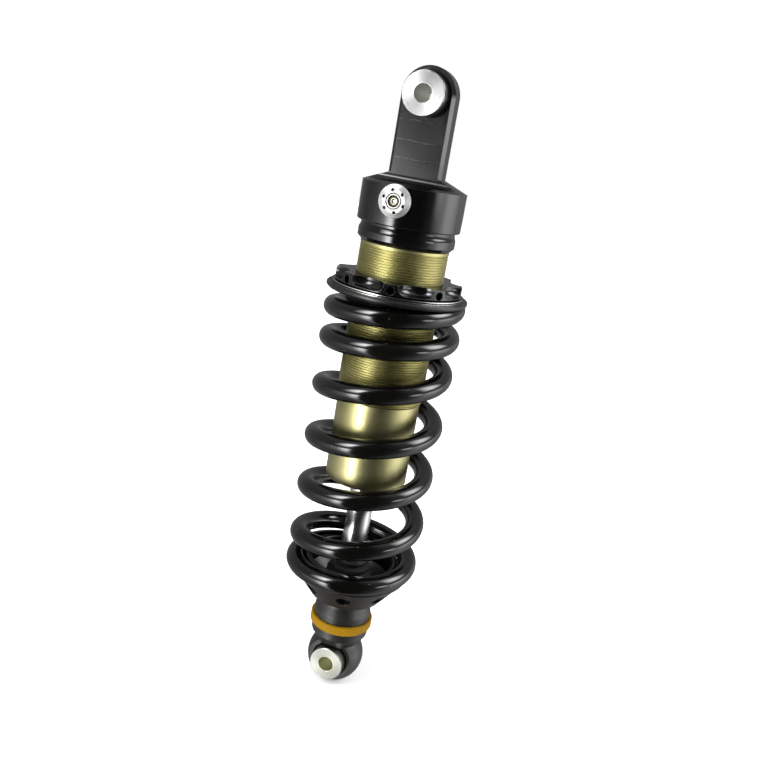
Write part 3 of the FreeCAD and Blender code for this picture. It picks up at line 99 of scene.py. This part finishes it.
def add_camera():
    """The camera of the main view, level with the blade and rolled."""
    lens = bpy.data.cameras.new("camera")
    lens.sensor_width = SENSOR_WIDTH
    lens.lens = CAMERA_LENS
    camera = bpy.data.objects.new("camera", lens)
    turn = Matrix.Rotation(CAMERA_TURN, 4, "Z")
    tilt = Matrix.Rotation(math.pi / 2 + CAMERA_TILT, 4, "X")
    roll = Matrix.Rotation(CAMERA_ROLL, 4, "Z")
    camera.matrix_world = Matrix.Translation(CAMERA_PLACE) @ turn @ tilt @ roll
    scene.collection.objects.link(camera)
    scene.camera = camera


def add_floor(height):
    """A wide pale floor just under the lower eye."""
    corners = [(x * FLOOR_SIZE, y * FLOOR_SIZE, height) for x, y in ((-1, -1), (1, -1), (1, 1), (-1, 1))]
    mesh = bpy.data.meshes.new("floor")
    mesh.from_pydata(corners, [], [(0, 1, 2, 3)])
    floor = bpy.data.objects.new("floor", mesh)
    scene.collection.objects.link(floor)
    paint = bpy.data.materials.new("floor")
    paint.use_nodes = True
    shader = paint.node_tree.nodes["Principled BSDF"]
    shader.inputs["Base Color"].default_value = (0.90, 0.90, 0.90, 1)
    shader.inputs["Roughness"].default_value = 0.9
    shader.inputs["Emission Color"].default_value = (1, 1, 1, 1)
    shader.inputs["Emission Strength"].default_value = FLOOR_GLOW
    mesh.materials.append(paint)
    floor.visible_glossy = False
    floor.visible_shadow = False


def add_softbox(name, azimuth, height, distance, size, power):
    """A square softbox at an azimuth in degrees from -Y, aimed at the middle of the damper."""
    light = bpy.data.lights.new(name, "AREA")
    light.size = size
    light.energy = power
    lamp = bpy.data.objects.new(name, light)
    angle = math.radians(azimuth)
    place = Vector((distance * math.sin(angle), -distance * math.cos(angle), height))
    aim = AIM - place
    lamp.matrix_world = Matrix.Translation(place) @ aim.to_track_quat("-Z", "Y").to_matrix().to_4x4()
    lamp.visible_camera = False
    lamp.visible_glossy = False
    scene.collection.objects.link(lamp)


def panel(tree, parts, around, profile, rise):
    """A lit panel of the tent: brightness over the azimuth from the camera, times that over the rise."""
    across = ramp(tree, around, [(degrees / 360 + 0.5, grey(level)) for degrees, level in profile])
    lift = math_node(tree, "ADD", math_node(tree, "MULTIPLY", parts.outputs["Z"], 0.5), 0.5)
    upward = ramp(tree, lift, [(sine * 0.5 + 0.5, grey(level)) for sine, level in rise])
    return mix(tree, "MULTIPLY", 1.0, across, upward)


# Each light: brightness over degrees from the camera, brightness over the sine of the rise, and strength
LIGHTS = {
    "left": (((-180, 0.0), (-110, 0.0), (-88, 0.02), (-70, 0.07), (-57, 0.16), (-50, 0.45), (-44, 0.9),
              (-40, 1.0), (-36, 0.8), (-31.5, 0.0), (180, 0.0)),
             ((-1, 0.0), (-0.75, 0.1), (-0.55, 0.25), (-0.40, 0.65), (-0.20, 0.65), (-0.12, 1.0),
              (-0.07, 1.0), (-0.055, 0.6), (-0.02, 0.32), (0.0, 0.20), (0.035, 0.08), (0.15, 0.0), (1, 0.0)),
             20.0),
    "upper left": (((-180, 0.0), (-72, 0.0), (-60, 0.5), (-52, 1.0), (-42, 1.0), (-38, 0.0), (180, 0.0)),
                   ((-1, 0.0), (0.25, 0.0), (0.45, 0.6), (0.60, 1.0), (0.75, 0.8), (0.85, 0.0), (1, 0.0)),
                   22.0),
    "right": (((-180, 0.0), (52, 0.0), (66, 0.35), (84, 1.0), (98, 0.8), (120, 0.15), (150, 0.0), (180, 0.0)),
              ((-1, 0.0), (-0.6, 0.10), (-0.26, 0.26), (0.0, 0.6), (0.06, 0.5), (0.14, 0.05), (0.25, 0.0),
               (1, 0.0)),
              8.0),
    "upper right": (((-180, 0.0), (68, 0.0), (80, 0.7), (92, 1.0), (104, 0.7), (116, 0.0), (180, 0.0)),
                    ((-1, 0.0), (0.3, 0.0), (0.5, 0.8), (0.65, 1.0), (0.8, 0.5), (0.9, 0.0), (1, 0.0)),
                    14.0),
    "side": (((-180, 0.0), (46, 0.0), (53, 1.0), (63, 1.0), (70, 0.0), (180, 0.0)),
             ((-1, 0.0), (-0.06, 0.0), (-0.02, 1.0), (0.10, 1.0), (0.20, 0.0), (1, 0.0)),
             6.0),
    "tent": (((-180, 0.30), (-120, 0.40), (-60, 0.5), (-33, 0.40), (-27, 0.04), (24, 0.04), (40, 0.20),
              (60, 0.5), (120, 0.5), (180, 0.30)),
             ((-1, 0.8), (-0.6, 1.3), (-0.3, 1.0), (0.0, 1.0), (0.5, 1.0), (0.8, 1.6), (1, 2.0)),
             0.8),
}


def add_world():
    """A pale tent with bright panels on either side of the camera and a dark gap between them."""
    world = bpy.data.worlds.new("studio")
    world.use_nodes = True
    scene.world = world
    tree = world.node_tree
    tree.nodes.clear()
    direction = node(tree, "ShaderNodeTexCoord").outputs["Generated"]
    turned = node(tree, "ShaderNodeVectorRotate", {"Vector": direction, "Axis": (0, 0, 1),
                                                   "Angle": -CAMERA_TURN})
    parts = node(tree, "ShaderNodeSeparateXYZ", {"Vector": turned.outputs["Vector"]})
    forward = math_node(tree, "MULTIPLY", parts.outputs["Y"], -1.0)
    azimuth = math_node(tree, "ARCTAN2", parts.outputs["X"], forward)
    around = math_node(tree, "ADD", math_node(tree, "DIVIDE", azimuth, 2 * math.pi), 0.5)
    studio = None
    for profile, rise, strength in LIGHTS.values():
        glow = node(tree, "ShaderNodeBackground", {"Color": panel(tree, parts, around, profile, rise),
                                                   "Strength": strength}).outputs[0]
        studio = node(tree, "ShaderNodeAddShader", {0: studio, 1: glow}).outputs[0] if studio else glow
    paper = node(tree, "ShaderNodeBackground", {"Color": grey(1.0), "Strength": 1.0})
    seen = node(tree, "ShaderNodeLightPath").outputs["Is Camera Ray"]
    choice = node(tree, "ShaderNodeMixShader", {0: seen, 1: studio, 2: paper.outputs[0]})
    node(tree, "ShaderNodeOutputWorld", {"Surface": choice.outputs[0]})


# ---------------------------------------------------------------- shader blocks

BEVEL_SAMPLES = 6
EDGE_COSINES = (0.99, 0.80)
SPECK_EDGE = (0.06, 0.11)
SWAY_SCALE = 90.0
NOISE_RANGE = (0.3, 0.7)
TOOL_MARK_SCALE, TOOL_MARK_DEPTH = 2600.0, 0.02 * mm
METAL_GRAIN_SCALE, METAL_GRAIN_DEPTH = 5200.0, 0.006 * mm
BLADE_FRONT = (-6.30 * mm, -6.45 * mm)
RUB_MARKS = (321.5 * mm, 331.2 * mm, 341.8 * mm)
RUB_FADE = (3.0 * mm, 7.0 * mm)
RUB_SWAY = 3.0 * mm
RUB_WIDTH = 0.14 * mm
THREAD_FOOT = 180 * mm
THREAD_FADE = 0.5 * mm


def grey(level):
    """A neutral colour."""
    return (level, level, level, 1)


def node(tree, kind, inputs=None, **settings):
    """A shader node with its settings and inputs, each a number, a colour or another node's output."""
    made = tree.nodes.new(kind)
    for name, setting in settings.items():
        setattr(made, name, setting)
    for name, given in (inputs or {}).items():
        if isinstance(given, bpy.types.NodeSocket):
            tree.links.new(given, made.inputs[name])
        else:
            made.inputs[name].default_value = given
    return made


def math_node(tree, operation, first, second=0.0):
    """The result of one sum."""
    return node(tree, "ShaderNodeMath", {0: first, 1: second}, operation=operation).outputs[0]


def ramp(tree, factor, stops):
    """A colour ramp through (position, colour) stops."""
    made = node(tree, "ShaderNodeValToRGB", {"Fac": factor})
    elements = made.color_ramp.elements
    elements[0].position, elements[0].color = stops[0]
    elements[1].position, elements[1].color = stops[-1]
    for position, colour in stops[1:-1]:
        elements.new(position).color = colour
    return made.outputs["Color"]


def remap(tree, factor, low, high, start, end):
    """A factor between low and high stretched to run from start to end."""
    return node(tree, "ShaderNodeMapRange", {"Value": factor, "From Min": low, "From Max": high,
                                             "To Min": start, "To Max": end}).outputs["Result"]


def mix(tree, kind, factor, first, second):
    """Two colours mixed."""
    made = tree.nodes.new("ShaderNodeMix")
    made.data_type = "RGBA"
    made.blend_type = kind
    for index, given in ((0, factor), (6, first), (7, second)):
        if isinstance(given, bpy.types.NodeSocket):
            tree.links.new(given, made.inputs[index])
        else:
            made.inputs[index].default_value = given
    return made.outputs[2]


def place(tree):
    """Where a point is on the object at rest, in metres."""
    return node(tree, "ShaderNodeTexCoord").outputs["Object"]


def noise(tree, vector, scale, detail=3.0, roughness=0.55):
    """Soft noise with features of about 1 / scale metres."""
    return node(tree, "ShaderNodeTexNoise", {"Vector": vector, "Scale": scale, "Detail": detail,
                                             "Roughness": roughness}).outputs["Fac"]


def around_axis(tree, axis="Z", centre=(0.0, 0.0)):
    """Radius and height of a point about an axis, as a vector; the axis runs through (x, z) of the centre."""
    origin = (centre[0], 0, centre[1])
    moved = node(tree, "ShaderNodeVectorMath", {0: place(tree), 1: origin}, operation="SUBTRACT")
    parts = node(tree, "ShaderNodeSeparateXYZ", {0: moved.outputs[0]})
    across = (1, 1, 0) if axis == "Z" else (1, 0, 1)
    flat = node(tree, "ShaderNodeVectorMath", {0: moved.outputs[0], 1: across}, operation="MULTIPLY")
    radius = node(tree, "ShaderNodeVectorMath", {0: flat.outputs[0]}, operation="LENGTH")
    along = parts.outputs["Z" if axis == "Z" else "Y"]
    return node(tree, "ShaderNodeCombineXYZ", {0: radius.outputs["Value"], 1: along, 2: 0.0}).outputs[0]


def bump(tree, height, strength, distance, below=None):
    """A bump from a height field, over another normal when there is one."""
    inputs = {"Height": height, "Strength": strength, "Distance": distance}
    if below is not None:
        inputs["Normal"] = below
    return node(tree, "ShaderNodeBump", inputs).outputs["Normal"]


def rounded_edges(tree, width):
    """A normal that rounds every edge a little."""
    return node(tree, "ShaderNodeBevel", {"Radius": width}, samples=BEVEL_SAMPLES).outputs["Normal"]


def edge_mask(tree, width):
    """1 on edges, where edge wear and a painted highlight go, and 0 on open surfaces."""
    smooth = rounded_edges(tree, width)
    sharp = node(tree, "ShaderNodeNewGeometry").outputs["Normal"]
    facing = node(tree, "ShaderNodeVectorMath", {0: smooth, 1: sharp}, operation="DOT_PRODUCT")
    return remap(tree, facing.outputs["Value"], *EDGE_COSINES, 0.0, 1.0)


def specks(tree, scale, share):
    """1 on a scatter of tiny dust specks."""
    cells = node(tree, "ShaderNodeTexVoronoi", {"Vector": place(tree), "Scale": scale})
    tint = node(tree, "ShaderNodeSeparateColor", {0: cells.outputs["Color"]}).outputs["Red"]
    chosen = math_node(tree, "LESS_THAN", tint, share)
    spot = remap(tree, cells.outputs["Distance"], *SPECK_EDGE, 1.0, 0.0)
    return math_node(tree, "MULTIPLY", chosen, spot)


def level_lines(tree, heights, waviness, width):
    """1 on thin level lines, 0 elsewhere."""
    level = node(tree, "ShaderNodeSeparateXYZ", {0: place(tree)}).outputs["Z"]
    sway = noise(tree, place(tree), SWAY_SCALE)
    wavy = math_node(tree, "ADD", level, math_node(tree, "MULTIPLY", sway, waviness))
    marks = 0.0
    for height in heights:
        away = math_node(tree, "ABSOLUTE", math_node(tree, "SUBTRACT", wavy, height))
        marks = math_node(tree, "ADD", marks, remap(tree, away, width / 3, width, 1.0, 0.0))
    return marks


def scratches(tree):
    """1 on thin wavy rub marks across the blade's front, fainter to the right, and 0 elsewhere."""
    parts = node(tree, "ShaderNodeSeparateXYZ", {0: place(tree)})
    front = remap(tree, parts.outputs["Y"], *BLADE_FRONT, 0.0, 1.0)
    fading = remap(tree, parts.outputs["X"], *RUB_FADE, 1.0, 0.3)
    extent = math_node(tree, "MULTIPLY", front, fading)
    marks = math_node(tree, "MULTIPLY", level_lines(tree, RUB_MARKS, RUB_SWAY, RUB_WIDTH), extent)
    broken = remap(tree, noise(tree, place(tree), 700.0, 2.0), 0.42, 0.56, 0.0, 1.0)
    return math_node(tree, "MULTIPLY", marks, broken)


def finish(name, **constants):
    """A new material, its node tree and its shader, with constants set on the shader's sockets."""
    material = bpy.data.materials.new(name)
    material.use_nodes = True
    shader = material.node_tree.nodes["Principled BSDF"]
    for key, number in constants.items():
        shader.inputs[key.replace("_", " ").title().replace("Ior", "IOR")].default_value = number
    return material, material.node_tree, shader


def wire_up(tree, shader, colour, roughness, normal):
    """Link the varying inputs of a shader."""
    tree.links.new(colour, shader.inputs["Base Color"])
    tree.links.new(roughness, shader.inputs["Roughness"])
    tree.links.new(normal, shader.inputs["Normal"])


# ---------------------------------------------------------------- finishes

VALVE_AXIS = (-1.35 * mm, 297.4 * mm)
UPPER_BOLT_AXIS = (0.0, 355 * mm)
BOLT_BORE = 5.05 * mm
LINING_EDGE = 0.2 * mm
# Heights and width of the painted highlight lines on the washers
WASHER_HIGHLIGHT_LINES = (245.95 * mm, 247.15 * mm)
HIGHLIGHT_LINE_WIDTH = 0.22 * mm
# Width of the edges that get edge wear and a painted highlight
WEAR_AND_GLINT_WIDTH = 0.35 * mm
HOLE_SIZE = 1.2 * mm
HOLE_SAMPLES = 8
DUST_SCALE = 700.0
DUST_STRENGTH = 0.6
DUST = grey(0.45)
RUBBED = grey(0.10)
BLOOM = 2.2
BLACK = (0.0007, 0.0007, 0.0008, 1)
BLACK_TINT = (0.0013, 0.0013, 0.0015, 1)


def speckled(tree, shade, share):
    """A shade with pale dust on a share of it."""
    dust = math_node(tree, "MULTIPLY", specks(tree, DUST_SCALE, share), DUST_STRENGTH)
    return mix(tree, "MIX", dust, shade, DUST)


def worn_and_glinting(tree, shade, amount, bright):
    """A shade that is brighter, unevenly, on its edges: edge wear together with a painted highlight."""
    edges = math_node(tree, "MULTIPLY", edge_mask(tree, WEAR_AND_GLINT_WIDTH), amount)
    patchy = remap(tree, noise(tree, place(tree), 420.0), 0.35, 0.6, 0.2, 1.0)
    return mix(tree, "MIX", math_node(tree, "MULTIPLY", edges, patchy), shade, bright)


def lined(tree, shade, around, bore):
    """A shade that turns into the bore's lining within its reach."""
    reach, lining = bore
    radius = node(tree, "ShaderNodeSeparateXYZ", {0: around}).outputs["X"]
    return mix(tree, "MIX", remap(tree, radius, reach, reach + LINING_EDGE, 1.0, 0.0), shade, lining)


def shaded_in_holes(tree, shade, hollow):
    """A shade that turns into a painted shade colour in small holes, found by ambient occlusion."""
    open_sky = node(tree, "ShaderNodeAmbientOcclusion", {"Distance": HOLE_SIZE}, samples=HOLE_SAMPLES)
    return mix(tree, "MIX", remap(tree, open_sky.outputs["AO"], 0.55, 0.85, 1.0, 0.0), shade, hollow)


def machined(name, colour, tint, roughness, metallic, axis="Z", centre=(0.0, 0.0), wear=0.0,
             bright=(0.5, 0.5, 0.5, 1), mottle=60.0, speck=0.0, round_off=0.25 * mm, bore=None,
             scratched=False, spun=0.0, hollow=None, polished=(), **constants):
    """Turned metal: fine tool marks about an axis, mottled colour, edges that catch the light; optionally
    edge wear with a painted highlight, painted shade in small holes and painted highlight lines.
    """
    material, tree, shader = finish(name, metallic=metallic, anisotropic=spun, **constants)
    if spun:
        tangent = node(tree, "ShaderNodeTangent", direction_type="RADIAL", axis=axis).outputs[0]
        tree.links.new(tangent, shader.inputs["Tangent"])
    around = around_axis(tree, axis, centre)
    cloud = noise(tree, place(tree), mottle, 4.0)
    rings = noise(tree, around, TOOL_MARK_SCALE, 2.0, 0.7)
    grain = noise(tree, place(tree), METAL_GRAIN_SCALE, 2.0)
    shade = mix(tree, "MIX", remap(tree, cloud, *NOISE_RANGE, 0.0, 1.0), colour, tint)
    # Edge wear together with a painted highlight on the edges
    if wear:
        shade = worn_and_glinting(tree, shade, wear, bright)
    if speck:
        shade = speckled(tree, shade, speck)
    if bore:
        shade = lined(tree, shade, around, bore)
    # Painted shade in small holes
    if hollow:
        shade = shaded_in_holes(tree, shade, hollow)
    # Painted highlight lines at given heights
    if polished:
        shade = mix(tree, "MIX", level_lines(tree, polished, 0.0, HIGHLIGHT_LINE_WIDTH), shade, bright)
    if scratched:
        shade = mix(tree, "MIX", scratches(tree), shade, RUBBED)
    clouded = remap(tree, cloud, *NOISE_RANGE, -0.04, 0.04)
    ringed = remap(tree, rings, *NOISE_RANGE, -0.03, 0.03)
    rough = math_node(tree, "ADD", math_node(tree, "ADD", clouded, ringed), roughness)
    normal = rounded_edges(tree, round_off)
    normal = bump(tree, rings, 0.5, TOOL_MARK_DEPTH, normal)
    normal = bump(tree, grain, 0.25, METAL_GRAIN_DEPTH, normal)
    wire_up(tree, shader, shade, rough, normal)
    return material


def powder_coat(name, colour, tint, dust):
    """Gloss coating of the spring, with a faint orange peel and a few specks of dust."""
    material, tree, shader = finish(name)
    peel = noise(tree, place(tree), 520.0, 2.0, 0.4)
    cloud = noise(tree, place(tree), 45.0, 4.0)
    shade = mix(tree, "MIX", remap(tree, cloud, *NOISE_RANGE, 0.0, 1.0), colour, tint)
    shade = mix(tree, "MIX", specks(tree, 520.0, 0.03), shade, dust)
    rough = remap(tree, cloud, *NOISE_RANGE, 0.08, 0.14)
    wire_up(tree, shader, shade, rough, bump(tree, peel, 0.06, 0.05 * mm))
    return material


def anodised(name, colour, tint, brown, thread):
    """Hard-anodised tube with brownish clouds; its thread is a little darker and duller."""
    material, tree, shader = finish(name, metallic=1.0)
    cloud = noise(tree, place(tree), 70.0, 5.0, 0.6)
    bands = noise(tree, around_axis(tree), 900.0, 3.0, 0.6)
    fine = noise(tree, place(tree), 3200.0, 2.0)
    stain = noise(tree, place(tree), 160.0, 4.0, 0.7)
    level = node(tree, "ShaderNodeSeparateXYZ", {0: place(tree)}).outputs["Z"]
    threaded = remap(tree, level, THREAD_FOOT - THREAD_FADE, THREAD_FOOT + THREAD_FADE, 0.0, 1.0)
    shade = mix(tree, "MIX", remap(tree, cloud, 0.32, 0.68, 0.0, 1.0), colour, tint)
    shade = mix(tree, "MIX", remap(tree, stain, 0.60, 0.78, 0.0, 0.25), shade, brown)
    shade = mix(tree, "MULTIPLY", threaded, shade, thread)
    clouded = remap(tree, cloud, *NOISE_RANGE, 0.32, 0.38)
    banded = remap(tree, bands, *NOISE_RANGE, -0.02, 0.02)
    rough = math_node(tree, "ADD", clouded, banded)
    rough = math_node(tree, "ADD", rough, math_node(tree, "MULTIPLY", threaded, 0.04))
    normal = bump(tree, bands, 0.25, 0.004 * mm)
    wire_up(tree, shader, shade, rough, bump(tree, fine, 0.3, 0.006 * mm, normal))
    return material


def chrome(name, colour, tint):
    """Hard-chromed rod with a fine polish."""
    material, tree, shader = finish(name, metallic=1.0)
    cloud = noise(tree, place(tree), 90.0, 3.0)
    polish = noise(tree, around_axis(tree), 3000.0, 2.0)
    rough = remap(tree, cloud, *NOISE_RANGE, 0.20, 0.26)
    shade = mix(tree, "MIX", cloud, colour, tint)
    wire_up(tree, shader, shade, rough, bump(tree, polish, 0.10, 0.004 * mm))
    return material


def rubber(name, colour, roughness):
    """Dull rubber or plastic with a fine grain and a little bloom."""
    material, tree, shader = finish(name)
    cloud = noise(tree, place(tree), 120.0, 4.0)
    grain = noise(tree, place(tree), 2400.0, 3.0)
    bloom = tuple(channel * BLOOM for channel in colour[:3]) + (1,)
    shade = mix(tree, "MIX", remap(tree, cloud, 0.35, 0.7, 0.0, 1.0), colour, bloom)
    rough = remap(tree, cloud, *NOISE_RANGE, roughness - 0.06, roughness + 0.08)
    wire_up(tree, shader, shade, rough, bump(tree, grain, 0.5, 0.02 * mm, rounded_edges(tree, 0.4 * mm)))
    return material


# Each finish: its maker and what the maker is given
RECIPES = {
    "cap_black": (machined, {"colour": BLACK, "tint": BLACK_TINT, "roughness": 0.14, "metallic": 0.0,
                             "wear": 0.10, "speck": 0.01, "scratched": True}),
    "tube_gold": (anodised, {"colour": (0.40, 0.375, 0.165, 1), "tint": (0.48, 0.445, 0.235, 1),
                             "brown": (0.42, 0.27, 0.08, 1), "thread": (0.90, 0.90, 0.84, 1)}),
    "seal_rubber": (rubber, {"colour": grey(0.012), "roughness": 0.5}),
    # The valves' hole colours are painted shade in their small holes
    "valve_bright": (machined, {"colour": (0.88, 0.88, 0.87, 1), "tint": (0.94, 0.94, 0.93, 1),
                                "roughness": 0.42, "metallic": 1.0, "axis": "Y", "centre": VALVE_AXIS,
                                "bore": (6.5 * mm, (0.42, 0.42, 0.41, 1)), "hollow": (0.05, 0.05, 0.03, 1)}),
    "valve_brass": (machined, {"colour": (0.05, 0.045, 0.025, 1), "tint": (0.09, 0.08, 0.04, 1),
                               "roughness": 0.35, "metallic": 1.0, "axis": "Y", "centre": VALVE_AXIS,
                               "bore": (1.5 * mm, (0.7, 0.7, 0.66, 1)), "hollow": (0.01, 0.01, 0.008, 1)}),
    "head_aluminium": (machined, {"colour": (0.62, 0.62, 0.63, 1), "tint": grey(0.7),
                                  "roughness": 0.32, "metallic": 1.0}),
    "bearing_steel": (machined, {"colour": grey(0.50), "tint": (0.58, 0.58, 0.57, 1),
                                 "roughness": 0.22, "metallic": 1.0}),
    "bush_bronze": (machined, {"colour": (0.40, 0.26, 0.12, 1), "tint": (0.5, 0.34, 0.17, 1),
                               "roughness": 0.35, "metallic": 1.0}),
    "rod_chrome": (chrome, {"colour": (0.62, 0.63, 0.64, 1), "tint": grey(0.70)}),
    "bumper_plastic": (rubber, {"colour": (0.25, 0.24, 0.21, 1), "roughness": 0.45}),
    "eye_black": (machined, {"colour": (0.006, 0.006, 0.0055, 1), "tint": (0.009, 0.009, 0.008, 1),
                             "roughness": 0.40, "metallic": 0.0, "wear": 0.08, "speck": 0.01}),
    # The ring's bright edges are edge wear together with a painted glint
    "ring_gold": (machined, {"colour": (0.18, 0.094, 0.0014, 1), "tint": (0.23, 0.124, 0.003, 1),
                             "roughness": 0.42, "metallic": 0.0, "wear": 0.3,
                             "bright": (0.6, 0.42, 0.08, 1), "mottle": 900.0, "specular_ior_level": 0.05}),
    "seat_black": (machined, {"colour": BLACK, "tint": grey(0.0015), "roughness": 0.34, "metallic": 0.0,
                              "wear": 0.10, "speck": 0.01}),
    "bump_rubber": (rubber, {"colour": grey(0.005), "roughness": 0.6}),
    # The washer is dark steel with painted highlight lines
    "washer_steel": (machined, {"colour": grey(0.05), "tint": (0.09, 0.09, 0.088, 1), "roughness": 0.24,
                                "metallic": 1.0, "bright": (0.75, 0.75, 0.72, 1), "round_off": 0.12 * mm,
                                "polished": WASHER_HIGHLIGHT_LINES}),
    "collar_black": (machined, {"colour": BLACK, "tint": BLACK_TINT, "roughness": 0.15, "metallic": 0.0,
                                "wear": 0.15, "speck": 0.01}),
    "spring_black": (powder_coat, {"colour": (0.0008, 0.0008, 0.0007, 1), "tint": (0.0018, 0.0018, 0.0015, 1),
                                   "dust": (0.30, 0.29, 0.24, 1)}),
    "spacer_aluminium": (machined, {"colour": (0.41, 0.41, 0.42, 1), "tint": grey(0.49), "roughness": 0.30,
                                    "metallic": 1.0, "axis": "Y", "centre": UPPER_BOLT_AXIS,
                                    "bore": (BOLT_BORE, (0.55, 0.55, 0.47, 1)), "spun": 0.6}),
    "spacer_steel": (machined, {"colour": (0.30, 0.30, 0.27, 1), "tint": (0.37, 0.37, 0.33, 1),
                                "roughness": 0.30, "metallic": 1.0, "axis": "Y",
                                "bore": (BOLT_BORE, (0.80, 0.80, 0.60, 1)), "spun": 0.4}),
    "bearing_oiled": (machined, {"colour": grey(0.010), "tint": (0.020, 0.020, 0.019, 1), "roughness": 0.34,
                                 "metallic": 1.0, "axis": "Y"}),
}
FINISHES = {name: make(name, **given) for name, (make, given) in RECIPES.items()}
OILED_NODES = ("top_bearing_clips", "top_bearing_race", "lower_bearing_clips", "lower_bearing_race")


def dress_cad_nodes():
    """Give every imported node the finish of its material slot, and the clips and races an oiled one."""
    for name, piece in frame["nodes"].items():
        for slot in piece.material_slots:
            packed = slot.material.name.split(".")[0]
            slot.material = FINISHES["bearing_oiled" if name in OILED_NODES else packed]


# ---------------------------------------------------------------- coil spring

WIRE_RADIUS = 5.85 * mm
COIL_RADIUS = 35.75 * mm
COIL_TURNS = 7.22
COIL_START = math.radians(52)
COIL_FOOT = 61.9 * mm
PITCH_LOWER, PITCH_ACTIVE, PITCH_UPPER = 11.5 * mm, 32.8 * mm, 18.5 * mm
LOWER_CHANGE, UPPER_CHANGE, CHANGE_SPAN = 1.12, 5.199, 0.6
WIRE_SECTIONS, WIRE_SIDES = 640, 40
LEAST_GAP = 0.2 * mm
TURN_STEP = 1e-3
HALF_TURN = 0.5
SHARP_ANGLE = math.radians(35)


def eased(turns, change):
    """Integral of a smooth step from 0 to 1 that is centred on a change."""
    share = (turns - change) / CHANGE_SPAN + 0.5
    if share <= 0:
        return 0.0
    if share >= 1:
        return turns - change
    return CHANGE_SPAN * (share ** 3 - 0.5 * share ** 4)


def coil_centre(turns):
    """Centre of the wire after some turns from its lower tip."""
    height = COIL_FOOT + PITCH_LOWER * turns
    height += (PITCH_ACTIVE - PITCH_LOWER) * eased(turns, LOWER_CHANGE)
    height += (PITCH_UPPER - PITCH_ACTIVE) * eased(turns, UPPER_CHANGE)
    azimuth = COIL_START + 2 * math.pi * turns
    return Vector((COIL_RADIUS * math.cos(azimuth), COIL_RADIUS * math.sin(azimuth), height))


def free_gap(turns, bottom, top):
    """How far a coil can close there: not at all on a seat, otherwise by the pitch less the wire."""
    height = coil_centre(turns).z
    if height - WIRE_RADIUS < bottom or height + WIRE_RADIUS > top:
        return 0.0
    low, high = max(turns - HALF_TURN, 0), min(turns + HALF_TURN, COIL_TURNS)
    pitch = (coil_centre(high).z - coil_centre(low).z) / (high - low)
    return max(pitch - 2 * WIRE_RADIUS, LEAST_GAP)


def coil_spring():
    """Round wire swept along the coils, ground flat at both ends; it closes with damper and collar."""
    sections, sides = WIRE_SECTIONS, WIRE_SIDES
    bottom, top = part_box("coil_spring")[0].z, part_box("coil_spring")[1].z
    points = []
    for index in range(sections + 1):
        turns = COIL_TURNS * index / sections
        centre = coil_centre(turns)
        heading = (coil_centre(turns + TURN_STEP) - coil_centre(turns - TURN_STEP)).normalized()
        outward = Vector((centre.x, centre.y, 0)).normalized()
        upward = outward.cross(heading).normalized()
        for side in range(sides):
            angle = 2 * math.pi * side / sides
            point = centre + WIRE_RADIUS * (outward * math.cos(angle) - upward * math.sin(angle))
            point.z = min(max(point.z, bottom), top)
            points.append(point)
    faces = []
    for index in range(sections):
        for side in range(sides):
            following = (side + 1) % sides
            low, high = index * sides, (index + 1) * sides
            faces.append((low + side, low + following, high + following, high + side))
    faces.append(tuple(reversed(range(sides))))
    faces.append(tuple(sections * sides + side for side in range(sides)))
    mesh = bpy.data.meshes.new("spring")
    mesh.from_pydata(points, [], faces)
    mesh.validate()
    for face in mesh.polygons:
        face.use_smooth = True
    mesh.set_sharp_from_angle(angle=SHARP_ANGLE)
    mesh.materials.append(FINISHES["spring_black"])
    spring = bpy.data.objects.new("spring", mesh)
    scene.collection.objects.link(spring)
    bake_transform(spring, "damper_body", "rod_assembly", start=(0, 0, top), end=(0, 0, bottom))
    stations = [COIL_TURNS * index / sections for index in range(sections + 1)]
    closing = np.cumsum([free_gap(turns, bottom, top) for turns in stations])
    share = np.repeat(1 - (closing - closing[0]) / (closing[-1] - closing[0]), sides)
    mesh.attributes["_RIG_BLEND"].data.foreach_set("value", share.astype(np.float32))
    follow_perch(spring, 1 - share)
    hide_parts("coil_spring")


def follow_perch(spring, shares):
    """Hook the spring to the upper seat, so that its coils also close with the preload collar."""
    group = spring.vertex_groups.new(name="perch")
    for index, share in enumerate(shares):
        group.add([index], float(share), "REPLACE")
    handle = bpy.data.objects.new("perch_handle", None)
    scene.collection.objects.link(handle)
    handle.parent = frame["bodies"]["spring_perch"]
    hook = spring.modifiers.new("perch", "HOOK")
    hook.object = handle
    hook.vertex_group = group.name


add_camera()
add_floor(cad_box[0].z - FLOOR_GAP)
add_softbox("key", azimuth=-50, height=0.9, distance=1.3, size=0.8, power=6)
add_softbox("overhead", azimuth=10, height=1.5, distance=0.3, size=1.0, power=12)
add_world()
dress_cad_nodes()
coil_spring()

scene.view_settings.view_transform = "Standard"
